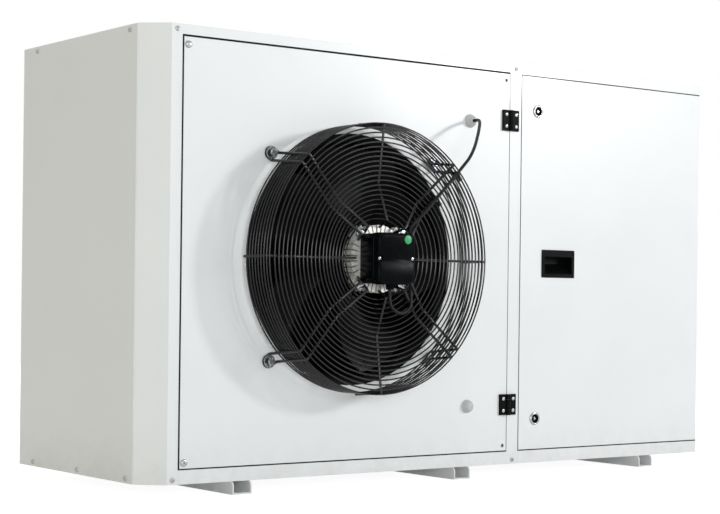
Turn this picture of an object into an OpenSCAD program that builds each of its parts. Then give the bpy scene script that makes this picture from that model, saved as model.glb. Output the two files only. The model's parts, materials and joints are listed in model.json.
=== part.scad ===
// Air-cooled condensing unit: a sheet-steel housing on three foot channels, with a hinged fan panel
// on the left and a compressor bay behind a service door on the right.
// Every module draws in case coordinates: x from the left side, y from the front face to the rear,
// z from the underside of the base. in_place() moves them to the part's origin, which is on the floor
// at the middle of the foot bolts.

/* [Housing] */
// Width of the service bay, from the centre post to the right side
service_bay_w = 556; // [530:2:640]
// Depth of the housing
case_d = 512; // [500:2:560]
// Height of the housing without its feet
case_h = 850; // [830:2:900]
// Length cut off the front left corner along each side
corner_cut = 46; // [36:1:56]
// Thickness of the folded sheet
sheet_t = 1.5; // [1:0.1:2]
// Height of the lid's rim
lid_rim_h = 20; // [16:1:26]
// Height of the base's front rail
base_rail_h = 27; // [22:1:34]
// Distance from the left side to the centre post
fan_bay_w = 878; // [860:2:900]
// Width of the centre post's face
centre_post_w = 32; // [28:1:40]
// Width of the corner post's front flange
post_flange_w = 24; // [20:1:30]

/* [Panels] */
// Gap round the fan panel and the service door
panel_gap = 1.5; // [1:0.1:2]
// Depth of the fan panel's folded edge
panel_fold = 12; // [10:1:18]
// Depth of the service door's folded edge
door_fold = 22; // [20:1:24]
// Width of the rebates behind the fan panel and the door
rebate_w = 16; // [12:1:20]

/* [Feet] */
// Height of a foot channel
foot_h = 25; // [20:1:40]
// Width of a foot channel
foot_w = 43; // [38:1:60]
// Distance by which the feet's pitch is less than half the housing's width
foot_inset = 189.5; // [160:0.5:220]
// Distance from the housing's middle to the middle foot
foot_mid_offset = 18; // [0:1:30]
// Distance of the foot bolts from front and rear
foot_bolt_inset = 31; // [25:1:60]
// Diameter of the foot bolt holes
foot_hole_d = 11; // [9:0.5:14]

/* [Fan and guard] */
// Fan diameter
fan_d = 450; // [420:5:470]
// Fan axis to the left of the panel's middle
fan_offset = 9; // [0:1:20]
// Fan axis below the panel's middle
fan_drop = 4; // [0:0.5:12]
// Radial distance from the fan's tips to the guard's rim
guard_margin = 37.5; // [34:0.5:44]
// Distance from the panel to the guard's face rings
guard_depth = 100; // [96:1:110]
// Wire of the guard rings
ring_wire = 3; // [2.5:0.1:4]
// Wire of the four double arms
arm_wire = 5.6; // [5:0.1:7]
// Distance between the two wires of an arm
arm_gap = 22; // [20:0.5:26]
// Distance between neighbouring face rings
face_pitch = 9.2; // [8:0.1:12]
// Number of rings round the rim
rim_rings = 9; // [6:1:9]
// Number of fan blades
blade_count = 5; // [3:1:7]
// Radial gap between the blade tips and the fan ring
tip_gap = 4; // [3:0.5:6]

/* [Motor] */
// Radius of the finned motor flange
flange_r = 66; // [64:1:70]
// Thickness of the finned motor flange
flange_t = 25; // [20:1:28]
// Radius of the turning rotor
rotor_r = 62; // [58:1:64]
// Length of the rotor
rotor_l = 112; // [100:1:120]
// Width of the terminal box
box_w = 90; // [84:1:92]
// Height of the terminal box
box_h = 97; // [90:1:98]
// Depth of the terminal box with its cover
box_d = 60; // [52:1:66]
// Diameter of the motor shaft
shaft_d = 16; // [12:1:20]

/* [Hinges and locks] */
// Width of a hinge with both leaves
hinge_w = 44; // [42:1:50]
// Height of a hinge
hinge_h = 44; // [40:1:54]
// Thickness of a hinge leaf
hinge_t = 5; // [4:0.5:5]
// Distance of the upper hinge's middle below the lid's rim
upper_hinge_drop = 101.5; // [80:0.5:130]
// Height of the lower hinge's middle above the base
lower_hinge_z = 126.5; // [100:0.5:150]
// Diameter of a lock's flange
lock_d = 28; // [26:1:32]
// Distance of the upper lock below the lid's rim
upper_lock_drop = 76; // [60:1:100]
// Height of the lower lock
lower_lock_z = 94; // [88:1:120]
// Width of the pull handle
handle_w = 96; // [90:1:110]
// Height of the pull handle
handle_h = 60; // [54:1:66]
// Depth of the pull handle's recess
handle_d = 26; // [22:1:30]

/* [Condenser coil] */
// Depth of the finned block
coil_d = 60; // [50:1:70]
// Distance between the drawn fins
fin_pitch = 6; // [5:0.5:12]
// Thickness of the drawn fins
fin_t = 1.2; // [1:0.1:2]
// Outer diameter of the coil's tubes
coil_tube_d = 9.5; // [8:0.5:12]
// Vertical distance between the coil's tubes
tube_pitch = 25.4; // [24:0.1:28]

/* [Compressor bay] */
// Radius of the compressor's shell
comp_r = 92; // [84:1:94]
// Height of the compressor's straight wall
comp_h = 300; // [260:5:320]
// Radius of the liquid receiver
receiver_r = 55; // [46:1:58]
// Height of the liquid receiver's straight wall
receiver_h = 320; // [280:5:330]
// Outer diameter of the suction connection
suction_d = 28; // [24:1:30]
// Diameter of the suction pipe that is brazed into the connection
suction_pipe_d = 22.2; // [16:0.1:22.2]
// Outer diameter of the liquid connection
liquid_d = 18; // [16:1:20]
// Diameter of the liquid pipe that is brazed into the connection
liquid_pipe_d = 12.7; // [9.5:0.1:12.7]
// Clear diameter of the power gland
gland_bore_d = 14; // [10:0.5:16]
// Width of the electric box
ebox_w = 280; // [240:5:300]
// Height of the electric box
ebox_h = 240; // [210:5:250]
// Depth of the electric box
ebox_d = 110; // [100:2:120]

/* [Hidden] */
$fn = 64;
overrun = 1;
fit_gap = 0.3;
run_gap = 0.05;
braze_gap = 0.1;
white_paint = [0.93, 0.94, 0.94];
zinc = [0.72, 0.73, 0.74];
black_wire = [0.06, 0.06, 0.07];
black_plastic = [0.08, 0.08, 0.09];
cast_metal = [0.80, 0.80, 0.80];
copper = [0.78, 0.45, 0.30];
brass = [0.80, 0.65, 0.35];
rubber = [0.15, 0.15, 0.15];
grey_plastic = [0.78, 0.79, 0.80];

// Levels and faces of the housing
case_w = fan_bay_w + centre_post_w + service_bay_w;
lid_z = case_h - lid_rim_h;
post_edge_x = corner_cut + post_flange_w;
post_right_x = fan_bay_w + centre_post_w;
post_mid_x = fan_bay_w + centre_post_w / 2;
panel_left_x = post_edge_x + panel_gap;
panel_right_x = fan_bay_w - panel_gap;
door_left_x = post_right_x + panel_gap;
opening_bottom_z = base_rail_h + panel_gap;
opening_top_z = lid_z - panel_gap;
side_front_y = door_fold + 5 * sheet_t;
fold_w = 20;
rail_leg = 38;
inner_rear_y = case_d - sheet_t;
post_side_y = corner_cut + post_flange_w / 2;
louvre_count = 8;
louvre_w = 150;
louvre_h = 8;
louvre_pitch = 24;
louvre_top_share = 0.93;

// Housing screws
screw_head_d = 10;
screw_head_t = 2.4;
screw_d = 4;
screw_l = 8;
screw_hole_d = screw_d + 2 * fit_gap;
lid_screw_z = case_h - lid_rim_h / 2;
base_screw_z = base_rail_h / 3;
side_screw_front_y = 73;
side_screw_rear_y = case_d - 61;
side_screw_mid_y = (side_screw_front_y + side_screw_rear_y) / 2;
rear_screw_shares = [0.15, 0.5, 0.85];
base_rear_screw_shares = [0.25, 0.75];

// Places of the housing screws, each with the face that it goes into
side_screw_ys = [side_screw_front_y, side_screw_mid_y, side_screw_rear_y];
screw_spots = concat(
    [for (x = [corner_cut + post_flange_w / 2, post_mid_x]) [[x, 0, lid_screw_z], "front"]],
    [for (x = [corner_cut + post_flange_w / 2, post_mid_x]) [[x, 0, base_screw_z], "front"]],
    [for (y = [side_screw_front_y, side_screw_rear_y]) [[0, y, lid_screw_z], "left"]],
    [for (y = [side_screw_front_y, side_screw_rear_y]) [[case_w, y, lid_screw_z], "right"]],
    [for (y = side_screw_ys) [[0, y, base_screw_z], "left"]],
    [for (y = side_screw_ys) [[case_w, y, base_screw_z], "right"]],
    [for (s = rear_screw_shares) [[case_w * s, case_d, lid_screw_z], "rear"]],
    [for (s = base_rear_screw_shares)
        [[fan_bay_w + (case_w - fan_bay_w) * s, case_d, base_screw_z], "rear"]]);

// Feet
foot_pitch = case_w / 2 - foot_inset;
foot_bolt_span = case_d - 2 * foot_bolt_inset;
foot_mid_x = case_w / 2 + foot_mid_offset;
foot_reach = 6;
foot_t = 3;
foot_round = 9;

// Fan, guard and motor, seen from the fan axis
fan_x = (panel_left_x + panel_right_x) / 2 - fan_offset;
fan_z = (opening_bottom_z + opening_top_z) / 2 - fan_drop;
guard_r = fan_d / 2 + guard_margin;
bolt_r = guard_r + 19;
weld_bite = 0.3;
arm_face_y = -guard_depth - (ring_wire + arm_wire) / 2 + weld_bite;
arm_rim_r = guard_r + (ring_wire + arm_wire) / 2 - weld_bite;
hub_recess = 17;
arm_hub_y = arm_face_y + hub_recess;
kink_r = 145;
first_ring_r = 78;
arm_start_r = 62;
rim_first_y = -19;
rim_pitch = 9.7;
face_outer_r = guard_r - face_pitch;
face_ring_count = floor((face_outer_r - first_ring_r) / face_pitch) + 1;
hub_ring_r = face_outer_r - (face_ring_count - 1) * face_pitch;
arm_bend_r = 7;
kink_bend_r = 24;
eye_bend_r = 6;
spoke_wire = 5;
spoke_face_y = -guard_depth - (ring_wire + spoke_wire) / 2 + weld_bite;
spoke_rim_r = guard_r + (ring_wire + spoke_wire) / 2 - weld_bite;
spoke_end_y = rim_first_y + spoke_wire / 2;
wire_sides = 10;
bolt_d = 10;
bolt_head_r = 8.5;
bolt_head_t = 6.4;
washer_r = 12.5;
washer_t = 2;
ring_back_y = arm_hub_y + arm_wire / 2;
flange_front_y = ring_back_y;
flange_back_y = flange_front_y + flange_t;
box_back_y = flange_front_y;
box_front_y = box_back_y - box_d;
cover_t = 24;
box_corner_r = 12;
box_wall = 3;
rotor_front_y = flange_back_y + 4 * sheet_t;
rotor_back_y = rotor_front_y + rotor_l;
rotor_wall = 4;
lug_mid_r = 72;
lug_t = 14;
flange_slots = 36;
slot_w = 2.8;
slot_d = 16;
flange_screw_r = 10;
flange_screw_t = 6;
cover_screw_d = 7;
air_gap = 0.5;
stator_r = rotor_r - rotor_wall - air_gap;
bearing_r = 21;
bearing_t = 12;
nozzle_r = fan_d / 2 + tip_gap;
mouth_r = 20;
nozzle_l = 88;
nozzle_flange_w = 14;
blade_rise_share = 0.4;
blade_camber_share = 0.05;
blade_sweep_angle = 24;
blade_root_angle = 33;
blade_tip_angle = 27;
blade_behind = 21;
blade_t = 3;
blade_rows = 10;
blade_cols = 8;

// Fan lead and its glands. The lead's points are measured from the fan axis
lead_d = 6.5;
lead_sides = 8;
gland_dx = 301;
gland_drop = 110;
gland_z = lid_z - gland_drop;
blank_gland_z = 125.5;
gland_r = 14;
gland_l = 14;
gland_collar_t = 3;
gland_thread_r = 8;
box_gland_dx = 15;
box_gland_r = 9;
box_gland_l = 14;
box_gland_y = box_back_y - 18;
lead_route = [
    [15, -102.2, -57], [15, -102.2, -68], [15, -102.4, -78], [17, -102.8, -88], [23, -103.2, -97],
    [32, -103.7, -103], [42, -104, -105], [52, -104, -103], [61, -103.5, -97], [67, -102.5, -88],
    [69, -101, -78], [70, -99, -64], [70, -97, -46], [70, -95.5, -28], [70, -95, -8], [70, -95, 20],
    [69, -96.5, 44], [68, -97.5, 58], [72, -99.5, 68], [80, -102, 77], [89, -105, 85.8],
    [98.6, -107, 95.2], [152.3, -107, 148.9], [204.6, -107, 201.2],
    [219, -103, 216.5], [235, -94, 234], [251, -82, 252.5], [267, -68.5, 270.5], [281.5, -54, 285],
    [293, -39, 292.5], [299, -27, 295.5], [301, -18, 295.5], [301, -9, 295.5]];
tie_ring_gaps = [0, 8];
tie_w = 3.6;
tie_t = 1.4;
tie_head_w = 5;
tie_lead_y = -107;
tie_lead_side = 2.4;

// Hinges, locks, handle and pivots
upper_hinge_z = lid_z - upper_hinge_drop;
upper_lock_z = lid_z - upper_lock_drop;
hinge_barrel_r = 5;
hinge_pin_r = 2.5;
hinge_axis_x = fan_bay_w - panel_gap / 2;
hinge_axis_y = -hinge_barrel_r - fit_gap;
hinge_clear = 0.4;
hinge_knuckle_share = 0.5;
hinge_screw_d = 8;
hinge_screw_t = 2;
hinge_screw_dx = 13.5;
hinge_screw_dz = 12.5;
panel_screw_inset = 10;
panel_screw_x = panel_left_x + panel_screw_inset;
panel_screw_z_shares = [0.014, 0.981];
panel_screw_d = 6;
panel_screw_head_d = 14;
panel_screw_head_t = 4;
spare_hole_d = 8;
lock_dx = 46.5;
lock_flange_t = 3;
lock_barrel_r = 10;
lock_plug_r = 6;
lock_barrel_l = door_fold - 2;
cam_l = 41;
cam_w = 16;
cam_t = 3;
cam_y = door_fold + panel_gap + 2.5 * sheet_t;
handle_dx = 61.5;
handle_rise = 12.5;
handle_z = lid_z / 2 + handle_rise;
handle_flange_t = 2.5;
handle_lip = 6;
handle_wall = 2;
pivot_inset = 10;
pivot_r = 4;
pivot_l = 12;
insulation_t = 15;
insulation_inset = 18;

// Condenser coil
partition_x = fan_bay_w + 4 * sheet_t;
coil_left_x = 36;
coil_front_y = case_d - 22 - coil_d;
coil_rear_y = case_d - 22;
coil_bottom_z = 40;
coil_top_z = lid_z - 15;
end_flange_w = 18;
coil_web = 4;
tube_rows = floor((coil_top_z - coil_bottom_z) / tube_pitch);
tube_columns_y_shares = [0.25, 0.75];
circuit_bends = 4;
header_inset = 42;
header_x = partition_x + header_inset;
gas_header_r = 11;
liquid_header_r = 8;
feeder_r = 4;

// Compressor bay
receiver_inset = 120;
receiver_x = partition_x + receiver_inset;
receiver_y = 396;
receiver_dome_h = 22;
receiver_wall = 4;
receiver_skirt_h = 40;
port_r = 9;
port_h = 16;
port_share = 0.4;
comp_foot = 200;
comp_foot_t = 4;
comp_gap = 14;
comp_x = receiver_x + receiver_r + comp_gap + comp_foot / 2;
comp_y = 262;
comp_dome_h = 40;
comp_wall = 12;
comp_grommet_r = 15;
comp_grommet_h = 20;
comp_foot_z = sheet_t + comp_grommet_h;
comp_wall_z = comp_foot_z + comp_foot_t + comp_dome_h;
comp_top_z = comp_wall_z + comp_h + comp_dome_h;
comp_stud_r = 4;
comp_stud_inset = 16;
comp_saddle_share = 0.6;
comp_nut_r = 7;
comp_nut_t = 6;
seam_r = 2.5;
heater_z = comp_wall_z + 26;
heater_h = 16;
heater_t = 3;
terminal_w = 84;
terminal_h = 110;
terminal_d = 34;
pipe_l_r = 6.35;
pipe_s_r = 11;
pipe_sides = 12;
pipe_bend_steps = 4;
pipe_l_bend = 19;
pipe_s_bend = 33;
pipe_tight_bend = 9.5;
discharge_rise = 120;
discharge_z = comp_top_z + discharge_rise;
suction_port_z = comp_wall_z + comp_h - 30;
suction_port_l = 24;
liquid_run_z = 500;
liquid_run_y = coil_rear_y - 24;
drier_x = receiver_x + 96;
drier_l = 120;
drier_r = 24;
sight_x = drier_x + drier_l + 24;
sight_l = 34;
sight_r = 13;
liquid_valve_inset = 136;
liquid_valve_x = case_w - liquid_valve_inset;
liquid_valve_z = 120;
suction_valve_inset = 66;
suction_valve_x = case_w - suction_valve_inset;
suction_valve_z = 180;
valve_l = 52;
valve_plate = 54;
valve_plate_t = 3;
stub_l = 35;
socket_l = 20;
valve_neck = 30;
switch_w = 44;
switch_d = 40;
switch_h = 80;
switch_pitch = 60;
switch_y = 190;
switch_z = 430;
ebox_y = door_fold + 18;
ebox_z = lid_z - 30 - ebox_h;
ebox_cover_t = 2;
ebox_hole_shares = [0.3, 0.5, 0.7];
rail_h = 35;
rail_t = 7;
gland_hex_r = 13;
gland_hex_t = 8;
gland_l_outside = 18;
power_gland_inset = 160;
power_gland_x = case_w - power_gland_inset;
power_gland_z = 640;

// Helpers: places, folded sheet and swept wires

module in_place() translate([-foot_mid_x, -case_d / 2, foot_h]) children();

module at_fan() translate([fan_x, 0, fan_z]) children();

// Turns a piece drawn along +Z so that it points out of one face of the housing
module facing(side)
    rotate(side == "front" ? [90, 0, 0] : side == "left" ? [0, -90, 0] :
           side == "right" ? [0, 90, 0] : [-90, 0, 0]) children();

// Stretches a drawing in y and z along x
module along_x(x_from, x_to)
    translate([x_from, 0, 0]) rotate([90, 0, 90]) linear_extrude(x_to - x_from) children();

module upright(z_from, z_to) translate([0, 0, z_from]) linear_extrude(z_to - z_from) children();

function unit(v) = v / norm(v);
function left_of(v) = [-v[1], v[0]];
function mix(a, b, t) = a + (b - a) * t;

// The second side of a folded strip, t to the left of the polyline p
function mitre(p, i, t) =
    let (last = len(p) - 1,
         a = left_of(unit(p[max(i, 1)] - p[max(i, 1) - 1])),
         b = left_of(unit(p[min(i, last - 1) + 1] - p[min(i, last - 1)])))
    p[i] + t * (a + b) / (1 + a * b);

function strip(p, t) = concat(p, [for (i = [len(p) - 1 : -1 : 0]) mitre(p, i, t)]);

// The plan of the housing with its cut corner, drawn inset from the outer faces
function plan(inset) =
    let (cut = corner_cut + inset * (sqrt(2) - 1))
    [[cut, inset], [case_w - inset, inset], [case_w - inset, case_d - inset],
     [inset, case_d - inset], [inset, cut]];

// A path of points with its corners rounded to the radius r in steps
function round_corner(a, b, c, r, steps) =
    let (u = unit(a - b), v = unit(c - b), half = acos(u * v) / 2, turn = 180 - 2 * half,
         centre = b + unit(u + v) * r / sin(half),
         from = b + u * r / tan(half) - centre, to = b + v * r / tan(half) - centre)
    [for (i = [0 : steps])
        centre + (from * sin(turn * (1 - i / steps)) + to * sin(turn * i / steps)) / sin(turn)];

function rounded(p, radii, steps) =
    [for (i = [0 : len(p) - 1])
        each (i == 0 || i == len(p) - 1 || radii[i] == 0) ? [p[i]] :
            round_corner(p[i - 1], p[i], p[i + 1], radii[i], steps)];

function tangent(p, i) = unit(unit(p[min(i + 1, len(p) - 1)] - p[min(i, len(p) - 2)])
            + unit(p[max(i, 1)] - p[max(i, 1) - 1]));
function square_to(v, t) = unit(v - (v * t) * t);
function any_square(t) = square_to(abs(t[2]) < 0.9 ? [0, 0, 1] : [1, 0, 0], t);

// Normals along a path, each carried on from the one before, so that the tube doesn't twist
function carried(p, i, found) =
    i == len(p) ? found :
    carried(p, i + 1, concat(found, [square_to(found[i - 1], tangent(p, i))]));

// One closed tube of triangles along the points p
module tube_along(p, d, sides) {
    normals = carried(p, 1, [any_square(tangent(p, 0))]);
    rings = [for (i = [0 : len(p) - 1])
        let (n = normals[i], m = cross(tangent(p, i), n))
        for (k = [0 : sides - 1])
            p[i] + (n * cos(360 * k / sides) + m * sin(360 * k / sides)) * d / 2];
    last = (len(p) - 1) * sides;
    walls = [for (i = [0 : len(p) - 2], k = [0 : sides - 1])
        let (a = i * sides + k, b = i * sides + (k + 1) % sides)
        each [[a, b, b + sides], [a, b + sides, a + sides]]];
    caps = [for (k = [1 : sides - 2]) each [[0, k + 1, k], [last, last + k, last + k + 1]]];
    polyhedron(rings, [for (f = concat(walls, caps)) [f[0], f[2], f[1]]]);
}

// A link of the half width r between two places, each given as [height, depth]
module rounded_link(a, b, r) {
    for (p = [a, b]) translate([p[1], p[0]]) circle(r);
    translate([a[1], a[0]]) rotate(atan2(b[0] - a[0], b[1] - a[1]))
        translate([0, -r]) square([norm(b - a), 2 * r]);
}

module rounded_square(w, h, r) {
    square([w - 2 * r, h], center = true);
    square([w, h - 2 * r], center = true);
    for (x = [-1, 1], y = [-1, 1]) translate([x * (w / 2 - r), y * (h / 2 - r)]) circle(r);
}

// Screws and their holes

module screw(head_d, head_t, shank_d, shank_l) {
    cylinder(h = head_t / 2, d = head_d);
    translate([0, 0, head_t / 2]) cylinder(h = head_t / 2, d1 = head_d, d2 = head_d - head_t);
    translate([0, 0, -shank_l]) cylinder(h = shank_l + head_t / 4, d = shank_d);
}

module housing_screw_holes()
    for (s = screw_spots) translate(s[0]) facing(s[1])
        cylinder(h = 2 * screw_l + overrun, d = screw_hole_d, center = true);

module housing_screws() color(zinc) in_place()
    for (s = screw_spots) translate(s[0]) facing(s[1])
        screw(screw_head_d, screw_head_t, screw_d, screw_l);

// Housing

module front_rail(x_from, x_to, leg)
    along_x(x_from, x_to)
        polygon(strip([[leg, 0], [0, 0], [0, base_rail_h],
            [door_fold + 2 * sheet_t, base_rail_h]], -sheet_t));

module base_pan() color(white_paint) in_place() {
    floor_y = panel_fold + 2 * sheet_t;
    floor_x = 2 * sheet_t + fit_gap;
    slope = corner_cut + 4 * sheet_t;
    left_y = post_side_y + fit_gap;
    right_y = side_front_y + sheet_t + fit_gap;
    rear_y = inner_rear_y - sheet_t;
    tab_y = sheet_t + braze_gap;
    difference() {
        union() {
            linear_extrude(sheet_t) polygon([
            [floor_x, slope - floor_x], [slope - floor_x, floor_x], [post_edge_x - 3 * sheet_t, floor_x],
            [post_edge_x - 3 * sheet_t, floor_y], [case_w - fold_w - fit_gap, floor_y],
            [case_w - fold_w - fit_gap, right_y], [case_w - sheet_t, right_y],
            [case_w - sheet_t, rear_y], [case_w - 2 * fold_w, rear_y],
            [case_w - 2 * fold_w, inner_rear_y], [fold_w, inner_rear_y], [fold_w, rear_y],
            [floor_x, rear_y]]);
            front_rail(post_edge_x + fit_gap, fan_bay_w - fit_gap, rail_leg);
            front_rail(post_right_x + fit_gap, case_w, side_front_y - fit_gap);
            for (x = [[corner_cut + 2 * sheet_t, post_edge_x - 3 * sheet_t],
            [fan_bay_w + 2 * sheet_t, post_right_x - 2 * sheet_t]])
            along_x(x[0], x[1])
            polygon(strip([[rail_leg, 0], [tab_y, 0], [tab_y, base_rail_h]], -sheet_t));
            translate([sheet_t, left_y, 0]) cube([sheet_t, rear_y - left_y, base_rail_h]);
            translate([sheet_t, left_y, 0]) cube([rail_leg, rear_y - left_y, sheet_t]);
            translate([case_w - 2 * sheet_t, right_y, 0])
            cube([sheet_t, rear_y - fold_w - right_y, base_rail_h]);
            translate([fold_w, rear_y, 0]) cube([case_w - 3 * fold_w, sheet_t, base_rail_h]);
        }
        housing_screw_holes();
    }
}

module foot(x) translate([x, 0, 0]) {
    y_from = -foot_reach;
    y_to = case_d - sheet_t;
    difference() {
        translate([-foot_w / 2, y_from, -foot_h]) cube([foot_w, y_to - y_from, foot_h]);
        translate([-foot_w / 2 + foot_t, y_from - overrun, foot_t - foot_h])
            cube([foot_w - 2 * foot_t, y_to - y_from + 2 * overrun, foot_h]);
        difference() {
            translate([-foot_w / 2 - overrun, y_from - overrun, -foot_round])
            cube([foot_w + 2 * overrun, foot_round + overrun, foot_round + overrun]);
            translate([-foot_w, y_from + foot_round, -foot_round]) rotate([0, 90, 0])
            cylinder(h = 2 * foot_w, r = foot_round);
        }
        for (y = [-1, 1]) translate([0, case_d / 2 + y * foot_bolt_span / 2, -foot_h - overrun])
            cylinder(h = foot_t + 2 * overrun, d = foot_hole_d);
    }
}

module mounting_feet() color(white_paint) in_place()
    for (i = [-1 : 1]) foot(foot_mid_x + i * foot_pitch);

module left_corner_post() color(white_paint) in_place() {
    body = [[post_edge_x, panel_fold + sheet_t], [post_edge_x, 0], [corner_cut, 0],
            [sheet_t, corner_cut - sheet_t], [sheet_t, post_side_y]];
    rebate = concat([[post_edge_x + rebate_w, panel_fold + sheet_t]], body);
    difference() {
        union() {
            upright(0, base_rail_h) polygon(strip(body, -sheet_t));
            upright(base_rail_h, lid_z) polygon(strip(rebate, -sheet_t));
        }
        housing_screw_holes();
        fan_panel_screw_spots() cylinder(h = 4 * panel_fold, d = panel_screw_d + 4 * fit_gap, center = true);
    }
}

module left_side_panel() color(white_paint) in_place() {
    fold_y = post_side_y + fit_gap;
    difference() {
        union() {
            upright(0, lid_z) polygon(strip([[0, corner_cut], [0, case_d], [fold_w, case_d]], -sheet_t));
            translate([0, fold_y, lid_z - sheet_t]) cube([fold_w, case_d - sheet_t - fold_y, sheet_t]);
        }
        housing_screw_holes();
    }
}

module centre_post() color(white_paint) in_place() {
    rebate_y = panel_fold + sheet_t;
    door_y = door_fold + sheet_t;
    foot_part = [[fan_bay_w, rebate_y], [fan_bay_w, 0], [post_right_x, 0], [post_right_x, rebate_y]];
    full = [[fan_bay_w - rebate_w, rebate_y], [fan_bay_w, rebate_y], [fan_bay_w, 0], [post_right_x, 0],
            [post_right_x, door_y], [post_right_x + rebate_w, door_y]];
    difference() {
        union() {
            upright(0, base_rail_h) polygon(strip(foot_part, sheet_t));
            upright(base_rail_h, lid_z) polygon(strip(full, sheet_t));
        }
        housing_screw_holes();
        hinge_post_screw_spots()
            cylinder(h = 4 * panel_fold, d = hinge_screw_d / 2 + 2 * fit_gap, center = true);
    }
}

module right_side_panel() color(white_paint) in_place() {
    wall = [[case_w - fold_w, side_front_y], [case_w, side_front_y], [case_w, inner_rear_y],
            [case_w - fold_w, inner_rear_y]];
    fold_y = side_front_y + sheet_t;
    difference() {
        union() {
            upright(0, lid_z) polygon(strip(wall, sheet_t));
            translate([case_w - fold_w, fold_y, lid_z - sheet_t])
            cube([fold_w - sheet_t / 2, inner_rear_y - fold_y - sheet_t / 2, sheet_t]);
        }
        housing_screw_holes();
    }
}

module rear_panel() color(white_paint) in_place() {
    louvre_x = (partition_x + case_w) / 2;
    difference() {
        translate([partition_x + 2 * sheet_t, inner_rear_y, 0])
            cube([case_w - partition_x - 2 * sheet_t, sheet_t, lid_z]);
        housing_screw_holes();
        for (i = [0 : louvre_count - 1])
            translate([louvre_x - louvre_w / 2, case_d - louvre_h,
            lid_z * louvre_top_share - i * louvre_pitch])
            cube([louvre_w, 2 * louvre_h, louvre_h / 2]);
        stub_holes();
    }
    for (i = [0 : louvre_count - 1])
        translate([louvre_x - louvre_w / 2, case_d,
            lid_z * louvre_top_share + louvre_h / 2 - i * louvre_pitch])
            along_x(0, louvre_w) polygon(strip([[0, 0], [louvre_h / 2, -louvre_h / 2]], sheet_t));
}

module stub_holes() {
    for (s = [[suction_valve_x, suction_valve_z, suction_d], [liquid_valve_x, liquid_valve_z, liquid_d],
            [power_gland_x, power_gland_z, gland_bore_d + 4 * sheet_t]])
        translate([s[0], inner_rear_y - overrun, s[1]]) facing("rear")
            cylinder(h = sheet_t + 2 * overrun, d = s[2] + 2 * fit_gap);
}

module top_frame() color(zinc) in_place() {
    rail = strip([[rail_leg, lid_z], [sheet_t, lid_z], [sheet_t, case_h - sheet_t]], -sheet_t);
    side_from = rail_leg + fit_gap;
    side_to = inner_rear_y - rail_leg;
    difference() {
        union() {
            along_x(corner_cut + sheet_t, case_w - sheet_t) polygon(rail);
            translate([case_w, case_d, 0]) rotate(180)
            along_x(sheet_t, case_w - sheet_t) polygon(rail);
            translate([0, side_to, 0]) rotate(-90)
            along_x(0, side_to - corner_cut - sheet_t) polygon(rail);
            translate([case_w, side_from, 0]) rotate(90)
            along_x(0, side_to - side_from) polygon(rail);
        }
        housing_screw_holes();
        translate([case_w - pivot_inset, pivot_inset, lid_z - overrun])
            cylinder(h = sheet_t + 2 * overrun, r = pivot_r + run_gap);
    }
}

module top_lid() color(white_paint) in_place()
    difference() {
        upright(lid_z, case_h) polygon(plan(0));
        upright(lid_z - overrun, case_h - sheet_t) polygon(plan(sheet_t));
        housing_screw_holes();
    }

module partition_wall() color(zinc) in_place() {
    rear_part = [[partition_x, rail_leg + sheet_t], [partition_x, coil_front_y],
            [partition_x + end_flange_w, coil_front_y]];
    front_part = [[post_right_x - 4 * sheet_t, sheet_t], [partition_x, sheet_t], rear_part[1], rear_part[2]];
    difference() {
        union() {
            upright(sheet_t, opening_bottom_z) polygon(strip(rear_part, -sheet_t));
            upright(opening_bottom_z, lid_z) polygon(strip(front_part, -sheet_t));
        }
        hinge_post_screw_spots()
            cylinder(h = 4 * panel_fold, d = hinge_screw_d / 2 + 2 * fit_gap, center = true);
    }
}

// Condenser coil

module condenser_fins() color(zinc) in_place() {
    x_from = coil_left_x + sheet_t;
    count = floor((partition_x - x_from) / fin_pitch);
    step = (partition_x - x_from) / count;
    gap_d = (coil_d - coil_web) / 2;
    corners = [[fin_t / 2, 0], [fin_t / 2, gap_d], [step - fin_t / 2, gap_d], [step - fin_t / 2, 0]];
    front = concat([[x_from, coil_front_y]],
            [for (i = [0 : count - 1], c = corners) [x_from + i * step + c[0], coil_front_y + c[1]]],
            [[partition_x, coil_front_y]]);
    rear = [for (i = [len(front) - 1 : -1 : 0]) [front[i][0], coil_front_y + coil_rear_y - front[i][1]]];
    upright(coil_bottom_z, coil_top_z) polygon(concat(front, rear));
}

module condenser_frame() color(zinc) in_place() {
    y_from = coil_front_y;
    left_x = coil_left_x + sheet_t;
    left_end = [[left_x - end_flange_w, y_from], [left_x, y_from], [left_x, inner_rear_y],
            [left_x - end_flange_w, inner_rear_y]];
    right_end = [[partition_x + end_flange_w, y_from], [partition_x, y_from], [partition_x, inner_rear_y],
            [partition_x + end_flange_w, inner_rear_y]];
    upright(base_rail_h + sheet_t, lid_z - sheet_t) polygon(strip(left_end, sheet_t));
    upright(base_rail_h + sheet_t, lid_z) polygon(strip(right_end, -sheet_t));
    along_x(left_x - sheet_t / 2, partition_x + sheet_t / 2)
        polygon(strip([[y_from, sheet_t], [y_from, coil_bottom_z], [coil_rear_y, coil_bottom_z],
            [coil_rear_y, sheet_t]], -sheet_t));
    along_x(left_x - sheet_t / 2, partition_x + sheet_t / 2)
        polygon(strip([[y_from, lid_z], [y_from, coil_top_z], [coil_rear_y, coil_top_z],
            [coil_rear_y, lid_z]], sheet_t));
}

module return_bend(x, y, z, side)
    translate([x, y, z]) rotate([0, side * 90, 0]) rotate([90, 0, 0])
        rotate_extrude(angle = 180) translate([tube_pitch / 2, 0]) circle(d = coil_tube_d, $fn = 24);

function tube_z(row) = coil_bottom_z + (row + 0.5) * (coil_top_z - coil_bottom_z) / tube_rows;
function tube_y(column) = mix(coil_front_y, coil_rear_y, tube_columns_y_shares[column]);
function is_fed(row) = row == 0 || row == 2 * floor(tube_rows / 2) - 1
    || row % (2 * circuit_bends) == 0 || row % (2 * circuit_bends) == 2 * circuit_bends - 1;

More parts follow.
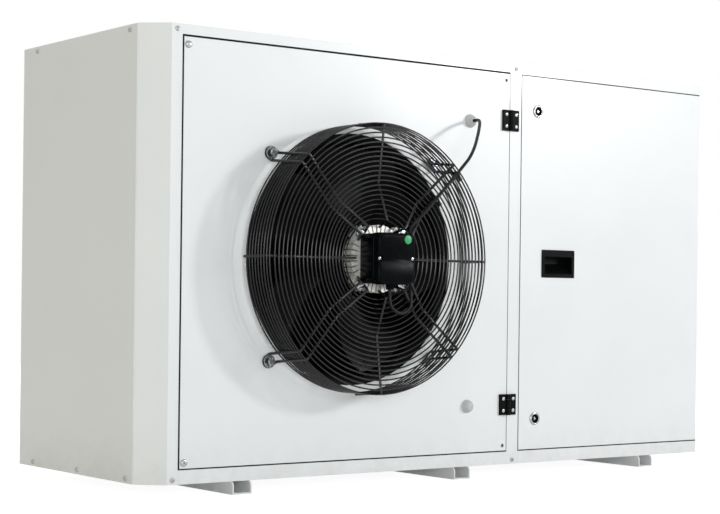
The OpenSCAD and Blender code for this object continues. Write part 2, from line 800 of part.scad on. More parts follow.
module condenser_tubes() color(copper) in_place() {
    pitch = (coil_top_z - coil_bottom_z) / tube_rows;
    hairpins = floor(tube_rows / 2);
    right_x = partition_x + sheet_t;
    for (column = [0, 1]) {
        y = tube_y(column);
        header_r = column == 0 ? gas_header_r : liquid_header_r;
        for (i = [0 : hairpins - 1])
            translate([coil_left_x, y, tube_z(2 * i + 0.5)]) scale(pitch / tube_pitch)
            return_bend(0, 0, 0, -1);
        for (i = [0 : hairpins - 2])
            if (!is_fed(2 * i + 1))
            translate([right_x, y, tube_z(2 * i + 1.5)]) scale(pitch / tube_pitch)
            return_bend(0, 0, 0, 1);
        translate([header_x, y, tube_z(0) - 2 * coil_tube_d])
            cylinder(h = tube_z(2 * hairpins - 1) - tube_z(0) + 4 * coil_tube_d, r = header_r);
        for (row = [0 : 2 * hairpins - 1])
            if (is_fed(row))
            translate([right_x, y, tube_z(row)]) facing("right")
            cylinder(h = header_x - right_x, r = feeder_r);
    }
}

// Fan panel and fan ring

module fan_panel_screw_spots()
    for (s = panel_screw_z_shares) translate([panel_screw_x, 0, mix(opening_bottom_z, opening_top_z, s)])
        facing("front") children();

module fan_panel_spare_spots()
    for (s = panel_screw_z_shares)
        translate([panel_right_x - panel_screw_inset, 0, mix(opening_bottom_z, opening_top_z, s)])
            facing("front") children();

module guard_bolt_spots()
    at_fan() for (a = [45 : 90 : 315]) rotate([0, a, 0]) translate([bolt_r, 0, 0]) children();

module gland_spots()
    for (z = [gland_z, blank_gland_z]) translate([fan_x + gland_dx, 0, z]) facing("front") children();

module fan_panel() color(white_paint) in_place()
    difference() {
        translate([panel_left_x, 0, opening_bottom_z])
            cube([panel_right_x - panel_left_x, panel_fold, opening_top_z - opening_bottom_z]);
        translate([panel_left_x + sheet_t, sheet_t, opening_bottom_z + sheet_t])
            cube([panel_right_x - panel_left_x - 2 * sheet_t, panel_fold,
            opening_top_z - opening_bottom_z - 2 * sheet_t]);
        at_fan() facing("front")
            cylinder(h = 4 * sheet_t, r = nozzle_r + mouth_r, center = true);
        fan_panel_screw_spots() cylinder(h = 4 * sheet_t, d = panel_screw_d + fit_gap, center = true);
        fan_panel_spare_spots() cylinder(h = 4 * sheet_t, d = spare_hole_d, center = true);
        guard_bolt_spots() facing("front") cylinder(h = 4 * sheet_t, d = bolt_d + fit_gap, center = true);
        gland_spots() cylinder(h = 4 * sheet_t, r = gland_thread_r + fit_gap, center = true);
        hinge_panel_screw_spots()
            cylinder(h = 4 * sheet_t, d = hinge_screw_d / 2 + 2 * fit_gap, center = true);
    }

module fan_nozzle() color(white_paint) in_place() at_fan() facing("rear")
    rotate_extrude($fn = 128) {
        r_in = nozzle_r;
        r_mouth = nozzle_r + mouth_r;
        translate([r_in, sheet_t + mouth_r]) square([sheet_t, nozzle_l - mouth_r]);
        difference() {
            translate([r_mouth, sheet_t + mouth_r]) circle(mouth_r);
            translate([r_mouth, sheet_t + mouth_r]) circle(mouth_r - sheet_t);
            translate([r_mouth, 0]) square(3 * mouth_r);
            translate([r_in - overrun, sheet_t + mouth_r]) square(2 * mouth_r);
        }
        translate([r_mouth, sheet_t]) square([nozzle_flange_w, sheet_t]);
    }

// Fan guard

function ring_y(r) = r > kink_r ? -guard_depth
    : mix(-guard_depth, -guard_depth + hub_recess, (kink_r - r) / (kink_r - first_ring_r));

module ring(r, y) translate([0, y, 0]) facing("front")
    rotate_extrude($fn = 96) translate([r, 0]) circle(d = ring_wire, $fn = 16);

module guard_face_rings() color(black_wire) in_place() at_fan()
    for (i = [0 : face_ring_count - 1]) {
        r = face_outer_r - i * face_pitch;
        ring(r, ring_y(r));
    }

module guard_rim_rings() color(black_wire) in_place() at_fan()
    for (i = [0 : rim_rings - 1]) ring(guard_r, rim_first_y - i * rim_pitch);

// One double arm along +X, from the motor lug over the face and back to its eye on the panel
module guard_arm() {
    side_y = arm_gap / 2;
    panel_y = -arm_wire / 2;
    one_side = rounded([[arm_start_r, arm_hub_y, side_y], [first_ring_r, arm_hub_y, side_y],
            [kink_r, arm_face_y, side_y], [arm_rim_r, arm_face_y, side_y],
            [arm_rim_r, panel_y, side_y], [bolt_r, panel_y, side_y]],
            [0, kink_bend_r, kink_bend_r, arm_bend_r, eye_bend_r, 0], 4);
    eye = [for (a = [75 : -15 : -75]) [bolt_r + side_y * cos(a), panel_y, side_y * sin(a)]];
    back = [for (i = [len(one_side) - 1 : -1 : 0]) [one_side[i][0], one_side[i][1], -one_side[i][2]]];
    tube_along(concat(one_side, eye, back), arm_wire, wire_sides);
}

module guard_spoke()
    tube_along(rounded([[arm_start_r, spoke_face_y + hub_recess, 0],
            [first_ring_r, spoke_face_y + hub_recess, 0],
            [kink_r, spoke_face_y, 0], [spoke_rim_r, spoke_face_y, 0],
            [spoke_rim_r, spoke_end_y, 0]], [0, kink_bend_r, kink_bend_r, arm_bend_r, 0], 4),
            spoke_wire, wire_sides);

module guard_arms() color(black_wire) in_place() at_fan() {
    for (a = [45 : 90 : 315]) rotate([0, a, 0]) guard_arm();
    for (a = [0 : 90 : 270]) rotate([0, a, 0]) guard_spoke();
}

module guard_bolts() color(zinc) in_place()
    guard_bolt_spots() translate([0, -arm_wire, 0]) facing("front") {
        cylinder(h = washer_t, r = washer_r);
        translate([0, 0, washer_t]) cylinder(h = bolt_head_t, r = bolt_head_r, $fn = 6);
        translate([0, 0, -arm_wire - 3 * bolt_d / 2])
            cylinder(h = arm_wire + 3 * bolt_d / 2 + washer_t / 2, d = bolt_d);
        translate([0, 0, -arm_wire - sheet_t - bolt_head_t])
            cylinder(h = bolt_head_t, r = bolt_head_r, $fn = 6);
    }

// Motor

module motor_flange() color(cast_metal) in_place() at_fan() {
    lug_w = arm_gap + arm_wire;
    lug_corner_r = hub_ring_r - ring_wire / 2 - fit_gap;
    lug_reach = sqrt(lug_corner_r * lug_corner_r - lug_w * lug_w / 4);
    hub_l = rotor_front_y - flange_back_y + flange_t / 2;
    translate([0, flange_back_y, 0]) facing("front") difference() {
        union() {
            linear_extrude(flange_t) difference() {
            circle(flange_r);
            for (i = [0 : flange_slots - 1]) rotate((i + 0.5) * 360 / flange_slots)
            translate([flange_r - slot_d, -slot_w / 2]) square([2 * slot_d, slot_w]);
            }
            for (a = [45 : 90 : 315]) rotate(a) translate([flange_r - slot_d, -lug_w / 2, flange_t - lug_t])
            cube([lug_reach - flange_r + slot_d, lug_w, lug_t]);
        }
        translate([0, 0, -overrun]) cylinder(h = flange_t / 2 + overrun, r = bearing_r);
        for (a = [45 : 90 : 315]) rotate(a) translate([lug_mid_r, 0, flange_t - lug_t - overrun])
            cylinder(h = lug_t + 2 * overrun, d = screw_hole_d);
    }
    translate([0, flange_back_y - flange_t / 2, 0]) facing("rear") difference() {
        cylinder(h = hub_l, r = bearing_r + 3 * sheet_t);
        translate([0, 0, -overrun]) cylinder(h = hub_l + 2 * overrun, r = bearing_r);
    }
}

module motor_screws() color(zinc) in_place() at_fan() {
    for (a = [45 : 90 : 315]) rotate([0, a, 0]) translate([lug_mid_r, arm_hub_y - arm_wire / 2, 0])
        facing("front") screw(2 * flange_screw_r, flange_screw_t, screw_d, arm_wire + lug_t);
    for (x = [-1, 1]) translate([x * (box_w / 2 - box_corner_r / 2), box_front_y, 0]) facing("front")
        screw(cover_screw_d, screw_head_t, screw_d, cover_t / 2);
}

module terminal_box() color(black_plastic) in_place() at_fan()
    translate([0, box_back_y, 0]) facing("front") difference() {
        linear_extrude(box_d - cover_t) rounded_square(box_w, box_h, box_corner_r);
        translate([0, 0, box_wall]) linear_extrude(box_d) rounded_square(box_w - 2 * box_wall - box_corner_r,
            box_h - 2 * box_wall, box_corner_r - box_wall);
        translate([box_gland_dx, -box_h / 2, box_back_y - box_gland_y]) rotate([90, 0, 0])
            cylinder(h = 3 * box_wall, r = lead_d, center = true);
    }

module terminal_cover() color(black_plastic) in_place() at_fan()
    translate([0, box_back_y - box_d + cover_t, 0]) facing("front") difference() {
        union() {
            linear_extrude(cover_t / 3) rounded_square(box_w + box_wall, box_h + box_wall, box_corner_r);
            linear_extrude(cover_t) rounded_square(box_w, box_h, box_corner_r);
        }
        translate([0, 0, -overrun]) linear_extrude(cover_t - box_wall + overrun)
            rounded_square(box_w - 3 * box_corner_r, box_h - 2 * box_wall, box_corner_r - box_wall);
        for (x = [-1, 1]) translate([x * (box_w / 2 - box_corner_r / 2), 0, -overrun])
            cylinder(h = cover_t + 2 * overrun, d = screw_hole_d);
    }

module motor_stator() color(zinc) in_place() at_fan() {
    back_y = rotor_back_y - 4 * rotor_wall;
    translate([0, rotor_front_y, 0]) facing("rear") difference() {
        cylinder(h = back_y - rotor_front_y, r = stator_r);
        translate([0, 0, -overrun]) cylinder(h = 2 * rotor_l, r = bearing_r);
    }
}

module motor_bearings() color(cast_metal) in_place() at_fan()
    for (y = [flange_back_y - flange_t / 2, rotor_back_y - 4 * rotor_wall - bearing_t])
        translate([0, y, 0]) facing("rear") difference() {
            cylinder(h = bearing_t, r = bearing_r);
            translate([0, 0, -overrun]) cylinder(h = bearing_t + 2 * overrun, r = shaft_d / 2 + run_gap);
        }

module rotor() color(black_plastic) in_place() at_fan() {
    translate([0, rotor_front_y + fit_gap, 0]) facing("rear") difference() {
        cylinder(h = rotor_l - fit_gap, r = rotor_r);
        translate([0, 0, -overrun])
            cylinder(h = rotor_l - fit_gap - rotor_wall + overrun, r = rotor_r - rotor_wall);
    }
    translate([0, flange_back_y - flange_t / 2 + fit_gap, 0]) facing("rear")
        cylinder(h = rotor_back_y - rotor_wall / 2 - flange_back_y + flange_t / 2 - fit_gap, d = shaft_d);
}

// A point of one sickle blade: u runs from root to tip, v along the chord, side is -1 or 1
function blade_point(u, v, side) =
    let (r = mix(rotor_r - fit_gap, fan_d / 2, u),
         half = mix(blade_root_angle, blade_tip_angle, u),
         a = blade_sweep_angle * (u * u - u / 3) + (v - 0.5) * 2 * half,
         rise = blade_rise_share * (2 * PI * r * half / 180 + 3 * rotor_r) / 2.5,
         camber = blade_camber_share * fan_d / 2 * sin(180 * v))
    [r * cos(a), rotor_back_y - blade_behind + (v - 0.5) * rise - camber + side * blade_t / 2, r * sin(a)];

module blade() {
    nu = blade_rows;
    nv = blade_cols;
    across = nv + 1;
    sheet = (nu + 1) * across;
    points = [for (side = [-1, 1], i = [0 : nu], j = [0 : nv]) blade_point(i / nu, j / nv, side)];
    faces = [for (i = [0 : nu - 1], j = [0 : nv - 1])
        let (a = i * across + j, b = a + 1, c = a + across, d = c + 1)
        each [[a, b, d], [a, d, c], [sheet + a, sheet + d, sheet + b], [sheet + a, sheet + c, sheet + d]]];
    ends = [for (i = [0 : nu - 1], j = [0, nv])
        let (a = i * across + j, c = a + across)
        each j == 0 ? [[a, c, sheet + c], [a, sheet + c, sheet + a]]
            : [[c, a, sheet + a], [c, sheet + a, sheet + c]]];
    edges = [for (i = [0, nu], j = [0 : nv - 1])
        let (a = i * across + j, b = a + 1)
        each i == 0 ? [[b, a, sheet + a], [b, sheet + a, sheet + b]]
            : [[a, b, sheet + b], [a, sheet + b, sheet + a]]];
    polyhedron(points, [for (f = concat(faces, ends, edges)) [f[0], f[2], f[1]]]);
}

module impeller_blades() color(black_plastic) in_place() at_fan()
    for (i = [0 : blade_count - 1]) rotate([0, i * 360 / blade_count, 0]) blade();

// Fan lead

module fan_lead() color(black_plastic) in_place() at_fan()
    tube_along(lead_route, lead_d, lead_sides);

module lead_ties() color(black_plastic) in_place() at_fan() rotate([0, 315, 0])
    for (i = tie_ring_gaps) translate([face_outer_r - (i + 0.5) * face_pitch, 0, 0]) {
        wire = [-arm_gap / 2, arm_face_y];
        lead = [-tie_lead_side, tie_lead_y];
        translate([-tie_w / 2, 0, 0]) rotate([90, 0, 90]) difference() {
            linear_extrude(tie_w) rounded_link(wire, lead, lead_d / 2 + fit_gap + tie_t);
            translate([0, 0, -overrun]) linear_extrude(tie_w + 2 * overrun)
            rounded_link(wire, lead, lead_d / 2 + fit_gap);
        }
        translate([0, arm_face_y, -arm_gap / 2 - lead_d / 2 - fit_gap - tie_t - tie_head_w / 2 + weld_bite])
            cube([tie_head_w + tie_t, tie_head_w, tie_head_w], center = true);
    }

// The upper gland takes the lead from the front, the lower one is closed
module panel_glands() color(grey_plastic) in_place() difference() {
    gland_spots() difference() {
        union() {
            cylinder(h = gland_collar_t, r = gland_r);
            translate([0, 0, gland_collar_t])
            cylinder(h = gland_l - gland_collar_t, r1 = gland_r - sheet_t / 2, r2 = gland_r / 2);
            translate([0, 0, -gland_l]) cylinder(h = gland_l + overrun, r = gland_thread_r);
        }
        translate([0, 0, -gland_l - overrun])
            cylinder(h = gland_l + gland_collar_t, r = gland_thread_r - 2 * sheet_t);
    }
    translate([fan_x + gland_dx, -gland_l - overrun, gland_z]) facing("rear")
        cylinder(h = gland_l / 2 + overrun, d = lead_d + 2 * fit_gap);
}

module box_gland() color(black_plastic) in_place() at_fan()
    translate([box_gland_dx, box_gland_y, -box_h / 2 - box_gland_l + box_wall])
        difference() {
            union() {
            cylinder(h = box_gland_l - box_wall, r = box_gland_r, $fn = 6);
            cylinder(h = box_gland_l, r = lead_d - fit_gap);
            }
            translate([0, 0, -overrun]) cylinder(h = box_gland_l / 4 + overrun, d = lead_d + 2 * fit_gap);
        }

// Hinges of the fan panel

module hinge_spots()
    for (z = [upper_hinge_z, lower_hinge_z]) translate([hinge_axis_x, 0, z]) children();

module hinge_screw_spots(side)
    hinge_spots() for (z = [-1, 1])
        translate([side * hinge_screw_dx, 0, z * hinge_screw_dz]) facing("front") children();

module hinge_panel_screw_spots() hinge_screw_spots(-1) children();
module hinge_post_screw_spots() hinge_screw_spots(1) children();

// A leaf on one side of the pin, with its knuckles between the heights in spans
module hinge_leaf(side, spans) hinge_spots() difference() {
    union() {
        translate([side > 0 ? hinge_barrel_r + hinge_clear : -hinge_w / 2, -hinge_t, -hinge_h / 2])
            cube([hinge_w / 2 - hinge_barrel_r - hinge_clear, hinge_t, hinge_h]);
        for (s = spans) {
            translate([0, hinge_axis_y, s[0]]) cylinder(h = s[1] - s[0], r = hinge_barrel_r);
            translate([side > 0 ? 0 : -hinge_barrel_r - 2 * hinge_clear, -hinge_t - fit_gap, s[0]])
            cube([hinge_barrel_r + 2 * hinge_clear, hinge_t - fit_gap, s[1] - s[0]]);
        }
    }
    translate([0, hinge_axis_y, -hinge_h]) cylinder(h = 2 * hinge_h, r = hinge_pin_r + run_gap);
    for (z = [-1, 1]) translate([side * hinge_screw_dx, 0, z * hinge_screw_dz]) facing("front")
        cylinder(h = 4 * hinge_t, d = hinge_screw_d / 2 + fit_gap, center = true);
}

hinge_mid = hinge_h * hinge_knuckle_share / 2;

module hinge_panel_leaves() color(black_plastic) in_place()
    hinge_leaf(-1, [[-hinge_mid + fit_gap, hinge_mid - fit_gap]]);

module hinge_post_leaves() color(black_plastic) in_place()
    hinge_leaf(1, [[-hinge_h / 2, -hinge_mid], [hinge_mid, hinge_h / 2]]);

module hinge_pins() color(zinc) in_place()
    hinge_spots() translate([0, hinge_axis_y, -hinge_h / 2]) cylinder(h = hinge_h, r = hinge_pin_r);

module hinge_screws(side) color(zinc) in_place()
    hinge_screw_spots(side) translate([0, 0, hinge_t])
        screw(hinge_screw_d, hinge_screw_t, hinge_screw_d / 2, hinge_t + 3 * sheet_t);

module hinge_panel_screws() hinge_screws(-1);
module hinge_post_screws() hinge_screws(1);

module fan_panel_screws() color(zinc) in_place()
    fan_panel_screw_spots()
        screw(panel_screw_head_d, panel_screw_head_t, panel_screw_d, panel_fold + 3 * sheet_t);

// Service door

lock_x = door_left_x + lock_dx;
handle_x = door_left_x + handle_dx + handle_w / 2;

module lock_spots()
    for (z = [upper_lock_z, lower_lock_z]) translate([lock_x, 0, z]) facing("front") children();

module service_door() color(white_paint) in_place()
    difference() {
        translate([door_left_x, 0, opening_bottom_z])
            cube([case_w - door_left_x, door_fold, opening_top_z - opening_bottom_z]);
        translate([door_left_x + sheet_t, sheet_t, opening_bottom_z + sheet_t])
            cube([case_w - door_left_x - 2 * sheet_t, door_fold,
            opening_top_z - opening_bottom_z - 2 * sheet_t]);
        lock_spots() cylinder(h = 4 * sheet_t, r = lock_barrel_r + fit_gap, center = true);
        translate([handle_x, 0, handle_z])
            cube([handle_w - 2 * handle_lip + 2 * fit_gap, 4 * sheet_t,
            handle_h - 2 * handle_lip + 2 * fit_gap], center = true);
        translate([case_w - pivot_inset, pivot_inset, 0]) cylinder(h = case_h, r = pivot_r + run_gap);
    }

module door_insulation() color([0.30, 0.30, 0.31]) in_place()
    difference() {
        translate([door_left_x + insulation_inset, sheet_t, opening_bottom_z + insulation_inset])
            cube([case_w - door_left_x - 2 * insulation_inset, insulation_t,
            opening_top_z - opening_bottom_z - 2 * insulation_inset]);
        lock_spots() cylinder(h = 4 * insulation_t, r = lock_d / 2 + fit_gap, center = true);
        translate([handle_x, 0, handle_z]) cube([handle_w, 4 * insulation_t, handle_h], center = true);
    }

module pull_handle() color(black_plastic) in_place() translate([handle_x, 0, handle_z])
    difference() {
        union() {
            translate([-handle_w / 2, -handle_flange_t, -handle_h / 2])
            cube([handle_w, handle_flange_t, handle_h]);
            translate([-handle_w / 2 + handle_lip, -handle_flange_t, -handle_h / 2 + handle_lip])
            cube([handle_w - 2 * handle_lip, handle_flange_t + handle_d, handle_h - 2 * handle_lip]);
        }
        along_x(-handle_w / 2 + handle_lip + handle_wall, handle_w / 2 - handle_lip - handle_wall)
            polygon([[-handle_flange_t - overrun, handle_lip + handle_wall - handle_h / 2],
            [-handle_flange_t - overrun, handle_h / 4],
            [handle_flange_t, handle_h / 4],
            [handle_flange_t, handle_h / 2 - handle_lip - handle_wall],
            [handle_d - handle_wall, handle_h / 2 - handle_lip - handle_wall],
            [handle_d - handle_wall, 0],
            [0, handle_lip + handle_wall - handle_h / 2]]);
    }

module lock_bodies() color(zinc) in_place()
    lock_spots() difference() {
        union() {
            cylinder(h = lock_flange_t, d = lock_d);
            translate([0, 0, -lock_barrel_l]) cylinder(h = lock_barrel_l + overrun, r = lock_barrel_r);
            translate([0, 0, -sheet_t - 2 * cam_t]) cylinder(h = 2 * cam_t, r = lock_d / 2, $fn = 6);
        }
        translate([0, 0, -2 * lock_barrel_l]) cylinder(h = 4 * lock_barrel_l, r = lock_plug_r + run_gap);
    }

// The turning plug with its cam, drawn released: the cam lies along the edge
module lock_plug(z) color(cast_metal) in_place() translate([lock_x, 0, z]) facing("front") {
    difference() {
        translate([0, 0, -cam_y - cam_t])
            cylinder(h = cam_y + cam_t + lock_flange_t - fit_gap, r = lock_plug_r);
        translate([-sheet_t / 2, -lock_plug_r, lock_flange_t - 2 * sheet_t])
            cube([sheet_t, 2 * lock_plug_r, lock_plug_r]);
    }
    translate([-cam_w / 2, cam_w / 2 - cam_l, -cam_y - cam_t]) cube([cam_w, cam_l, cam_t]);
    translate([0, 0, -cam_y - 2 * cam_t])
        cylinder(h = cam_t + overrun, r = lock_barrel_r - sheet_t, $fn = 6);
}

module upper_lock_plug() lock_plug(upper_lock_z);
module lower_lock_plug() lock_plug(lower_lock_z);

module door_pivot_pins() color(zinc) in_place()
    translate([case_w - pivot_inset, pivot_inset, 0]) {
        translate([0, 0, base_rail_h]) cylinder(h = pivot_l, r = pivot_r);
        translate([0, 0, lid_z - pivot_l]) cylinder(h = pivot_l + 2 * sheet_t, r = pivot_r);
    }

// Compressor and refrigerant circuit

// The profile of a vessel with domed ends, from the axis outwards
module vessel_profile(r, wall_h, dome_h) {
    dome_r = (r * r + dome_h * dome_h) / (2 * dome_h);
    square([r, wall_h]);
    intersection() {
        translate([0, wall_h + dome_h - dome_r]) circle(dome_r, $fn = 160);
        translate([0, wall_h - overrun]) square([r, dome_h + 2 * overrun]);
    }
    intersection() {
        translate([0, dome_r - dome_h]) circle(dome_r, $fn = 160);
        translate([0, -dome_h - overrun]) square([r, dome_h + 2 * overrun]);
    }
}

module comp_stud_spots()
    for (x = [-1, 1], y = [-1, 1])
        translate([comp_x + x * (comp_foot / 2 - comp_stud_inset),
            comp_y + y * (comp_foot / 2 - comp_stud_inset), sheet_t]) children();

module compressor_shell() color(black_plastic) in_place() {
    translate([comp_x, comp_y, comp_wall_z]) rotate_extrude() {
        difference() {
            vessel_profile(comp_r, comp_h, comp_dome_h);
            vessel_profile(comp_r - comp_wall, comp_h, comp_dome_h - comp_wall);
        }
        for (z = [0, comp_h]) translate([comp_r - seam_r / 2, z]) circle(seam_r, $fn = 24);
    }
    difference() {
        translate([comp_x, comp_y, comp_foot_z + comp_foot_t / 2])
            cube([comp_foot, comp_foot, comp_foot_t], center = true);
        comp_stud_spots() cylinder(h = 2 * comp_foot_z, r = comp_stud_r + 2 * fit_gap);
    }
    translate([comp_x, comp_y, comp_foot_z + sheet_t])
        cylinder(h = comp_dome_h / 2, r = comp_r * comp_saddle_share);
    translate([comp_x + comp_r - seam_r, comp_y, suction_port_z]) facing("right")
        cylinder(h = suction_port_l + seam_r, r = pipe_s_r + sheet_t);
    translate([comp_x, comp_y, comp_top_z - seam_r]) cylinder(h = suction_port_l, r = pipe_l_r + sheet_t);
}

module compressor_grommets() color(rubber) in_place()
    comp_stud_spots() difference() {
        cylinder(h = comp_grommet_h, r = comp_grommet_r);
        translate([0, 0, -overrun]) cylinder(h = 2 * comp_grommet_h, r = comp_stud_r + fit_gap);
    }

module compressor_studs() color(zinc) in_place()
    comp_stud_spots() {
        cylinder(h = comp_grommet_h + 4 * comp_foot_t, r = comp_stud_r);
        translate([0, 0, comp_grommet_h + comp_foot_t]) cylinder(h = comp_foot_t, r = 2 * comp_stud_r);
        translate([0, 0, comp_grommet_h + 2 * comp_foot_t])
            cylinder(h = comp_nut_t, r = comp_nut_r, $fn = 6);
    }

module compressor_terminal_cover() color(black_plastic) in_place()
    difference() {
        translate([comp_x - terminal_w / 2, comp_y - comp_r - terminal_d, comp_wall_z + comp_h / 2])
            cube([terminal_w, terminal_d + comp_r / 2, terminal_h]);
        translate([comp_x, comp_y, 0]) cylinder(h = case_h, r = comp_r + fit_gap);
    }

module crankcase_heater() color([0.75, 0.35, 0.20]) in_place()
    translate([comp_x, comp_y, heater_z]) difference() {
        union() {
            cylinder(h = heater_h, r = comp_r + fit_gap + heater_t);
            translate([comp_r + heater_t, 0, heater_h / 2])
            cube([3 * heater_t, 4 * heater_t, heater_h], center = true);
        }
        translate([0, 0, -overrun]) cylinder(h = heater_h + 2 * overrun, r = comp_r + fit_gap);
    }

receiver_top_z = sheet_t + receiver_skirt_h + receiver_h + receiver_dome_h + port_h;
function receiver_port(side) = [receiver_x + side * receiver_r * port_share, receiver_y, receiver_top_z];

module liquid_receiver() color(black_plastic) in_place() {
    translate([receiver_x, receiver_y, sheet_t + receiver_skirt_h]) {
        rotate_extrude() difference() {
            vessel_profile(receiver_r, receiver_h, receiver_dome_h);
            vessel_profile(receiver_r - receiver_wall, receiver_h, receiver_dome_h - receiver_wall);
        }
        translate([0, 0, -receiver_skirt_h]) difference() {
            cylinder(h = receiver_skirt_h, r = receiver_r);
            translate([0, 0, -overrun])
            cylinder(h = receiver_skirt_h - receiver_dome_h / 2, r = receiver_r - 2 * sheet_t);
        }
        for (side = [-1, 1]) translate([side * receiver_r * port_share, 0, receiver_h])
            cylinder(h = receiver_dome_h + port_h, r = port_r);
    }
}

module filter_drier() color([0.15, 0.30, 0.55]) in_place()
    translate([drier_x, liquid_run_y, liquid_run_z]) facing("right") {
        cylinder(h = drier_l, r = port_r);
        translate([0, 0, port_h + receiver_dome_h / 2]) rotate_extrude()
            vessel_profile(drier_r, drier_l - 2 * port_h - receiver_dome_h, receiver_dome_h / 2);
    }

module sight_glass() color(brass) in_place()
    translate([sight_x, liquid_run_y, liquid_run_z]) {
        facing("right") cylinder(h = sight_l, r = port_r);
        translate([sight_l / 2, sight_r, 0]) facing("front") difference() {
            cylinder(h = 2 * sight_r + port_r / 2, r = sight_r);
            translate([0, 0, 2 * sight_r + port_r / 4]) cylinder(h = port_r, r = sight_r - 2 * sheet_t);
        }
    }

// A pipe of the radius r along a run of straight stretches with its bends rounded
module pipe(points, r, bend_r)
    tube_along(rounded(points, [for (p = points) bend_r], pipe_bend_steps), 2 * r, pipe_sides);

module refrigerant_pipes() color(copper) in_place() {
    gas_y = tube_y(0);
    liquid_y = tube_y(1);
    back_x = receiver_x + receiver_r + 2 * port_r;
    drop_z = receiver_top_z + 2 * port_r + port_h;
    inlet = receiver_port(1);
    outlet = receiver_port(-1);
    suction_from = comp_x + comp_r + suction_port_l;
    valve_y = inner_rear_y - valve_l / 2;
    // Discharge pipe, from the top of the compressor to the gas header
    pipe([[comp_x, comp_y, comp_top_z + suction_port_l - seam_r], [comp_x, comp_y, discharge_z],
          [back_x, comp_y, discharge_z], [back_x, gas_y, discharge_z],
          [header_x + gas_header_r, gas_y, discharge_z]], pipe_l_r, pipe_l_bend);
    // From the liquid header to the receiver
    pipe([[header_x + liquid_header_r, liquid_y, coil_bottom_z + tube_pitch],
          [back_x, liquid_y, coil_bottom_z + tube_pitch], [back_x, liquid_y, drop_z],
          [inlet[0], liquid_y, drop_z], [inlet[0], inlet[1], drop_z], inlet], pipe_l_r, pipe_l_bend);
    // From the receiver to the filter drier
    pipe([outlet, [outlet[0], outlet[1], liquid_run_z], [outlet[0], liquid_run_y, liquid_run_z],
          [drier_x, liquid_run_y, liquid_run_z]], pipe_l_r, pipe_l_bend);
    // From the filter drier to the sight glass
    translate([drier_x + drier_l, liquid_run_y, liquid_run_z]) facing("right")
        cylinder(h = sight_x - drier_x - drier_l, r = pipe_l_r);
    // From the sight glass to the liquid valve
    pipe([[sight_x + sight_l, liquid_run_y, liquid_run_z], [liquid_valve_x, liquid_run_y, liquid_run_z],
          [liquid_valve_x, liquid_run_y, liquid_valve_z + valve_neck + 4 * port_r],
          [liquid_valve_x, valve_y, liquid_valve_z + valve_neck + 3 * port_r],
          [liquid_valve_x, valve_y, liquid_valve_z + valve_neck]], pipe_l_r, pipe_tight_bend);
    // Suction pipe, from the suction valve to the compressor
    pipe([[suction_valve_x, valve_y, suction_valve_z + valve_neck],
          [suction_valve_x, valve_y, suction_port_z], [suction_valve_x, comp_y, suction_port_z],
          [suction_from, comp_y, suction_port_z]], pipe_s_r, pipe_s_bend);
}

// A service valve: a body inside the rear panel, a neck up to its pipe and a stub to the rear
module service_valve(x, z, stub_d, pipe_d, neck_r) translate([x, inner_rear_y, z]) {
    translate([-valve_plate / 2, -valve_plate_t, -valve_plate / 2])
        cube([valve_plate, valve_plate_t, valve_plate]);
    translate([0, -valve_l, 0]) facing("rear") difference() {
        union() {
            cylinder(h = valve_l + sheet_t + stub_l, d = stub_d);
            cylinder(h = valve_l - valve_plate_t, d = stub_d + 4 * sheet_t);
        }
        translate([0, 0, valve_l + sheet_t + stub_l - socket_l])
            cylinder(h = socket_l + overrun, r = pipe_d / 2 + braze_gap);
        translate([0, 0, valve_l + sheet_t + stub_l - 2 * socket_l])
            cylinder(h = 2 * socket_l, r = pipe_d / 2 - sheet_t);
    }
    translate([0, -valve_l - stub_d / 2, 0]) facing("rear")
        cylinder(h = stub_d / 2 + overrun, d = stub_d, $fn = 6);
    translate([0, -valve_l / 2, 0]) cylinder(h = valve_neck, r = neck_r + 2 * sheet_t);
}

module service_valves() color(brass) in_place() {
    service_valve(suction_valve_x, suction_valve_z, suction_d, suction_pipe_d, pipe_s_r);
    service_valve(liquid_valve_x, liquid_valve_z, liquid_d, liquid_pipe_d, pipe_l_r);
}

module pressure_switches() color(grey_plastic) in_place()
    for (i = [0, 1]) translate([partition_x + sheet_t, switch_y + i * switch_pitch, switch_z]) {
        cube([switch_w, switch_d, switch_h]);
        translate([switch_w / 2, switch_d / 2, -port_h]) cylinder(h = port_h + overrun, r = port_r, $fn = 6);
        translate([switch_w / 2, switch_d / 2, switch_h - overrun]) cylinder(h = port_h / 2, r = port_r / 2);
    }

// Electric box

module electric_box() color(zinc) in_place() translate([partition_x + sheet_t, ebox_y, ebox_z])
    difference() {
        cube([ebox_w, ebox_d, ebox_h]);
        translate([sheet_t, -overrun, sheet_t])
            cube([ebox_w - 2 * sheet_t, ebox_d - sheet_t + overrun, ebox_h - 2 * sheet_t]);
        for (s = ebox_hole_shares) translate([s * ebox_w, ebox_d / 2, -overrun])
            cylinder(h = sheet_t + 2 * overrun, d = gland_bore_d);
    }

module electric_box_cover() color(zinc) in_place()
    translate([partition_x + sheet_t, ebox_y, ebox_z]) {
        translate([0, -ebox_cover_t, 0]) cube([ebox_w, ebox_cover_t, ebox_h]);
        for (x = [fold_w / 2, ebox_w - fold_w / 2], z = [fold_w / 2, ebox_h - fold_w / 2])
            translate([x, -ebox_cover_t + screw_head_t / 2, z]) facing("front")
            cylinder(h = screw_head_t, d = screw_head_d);
    }

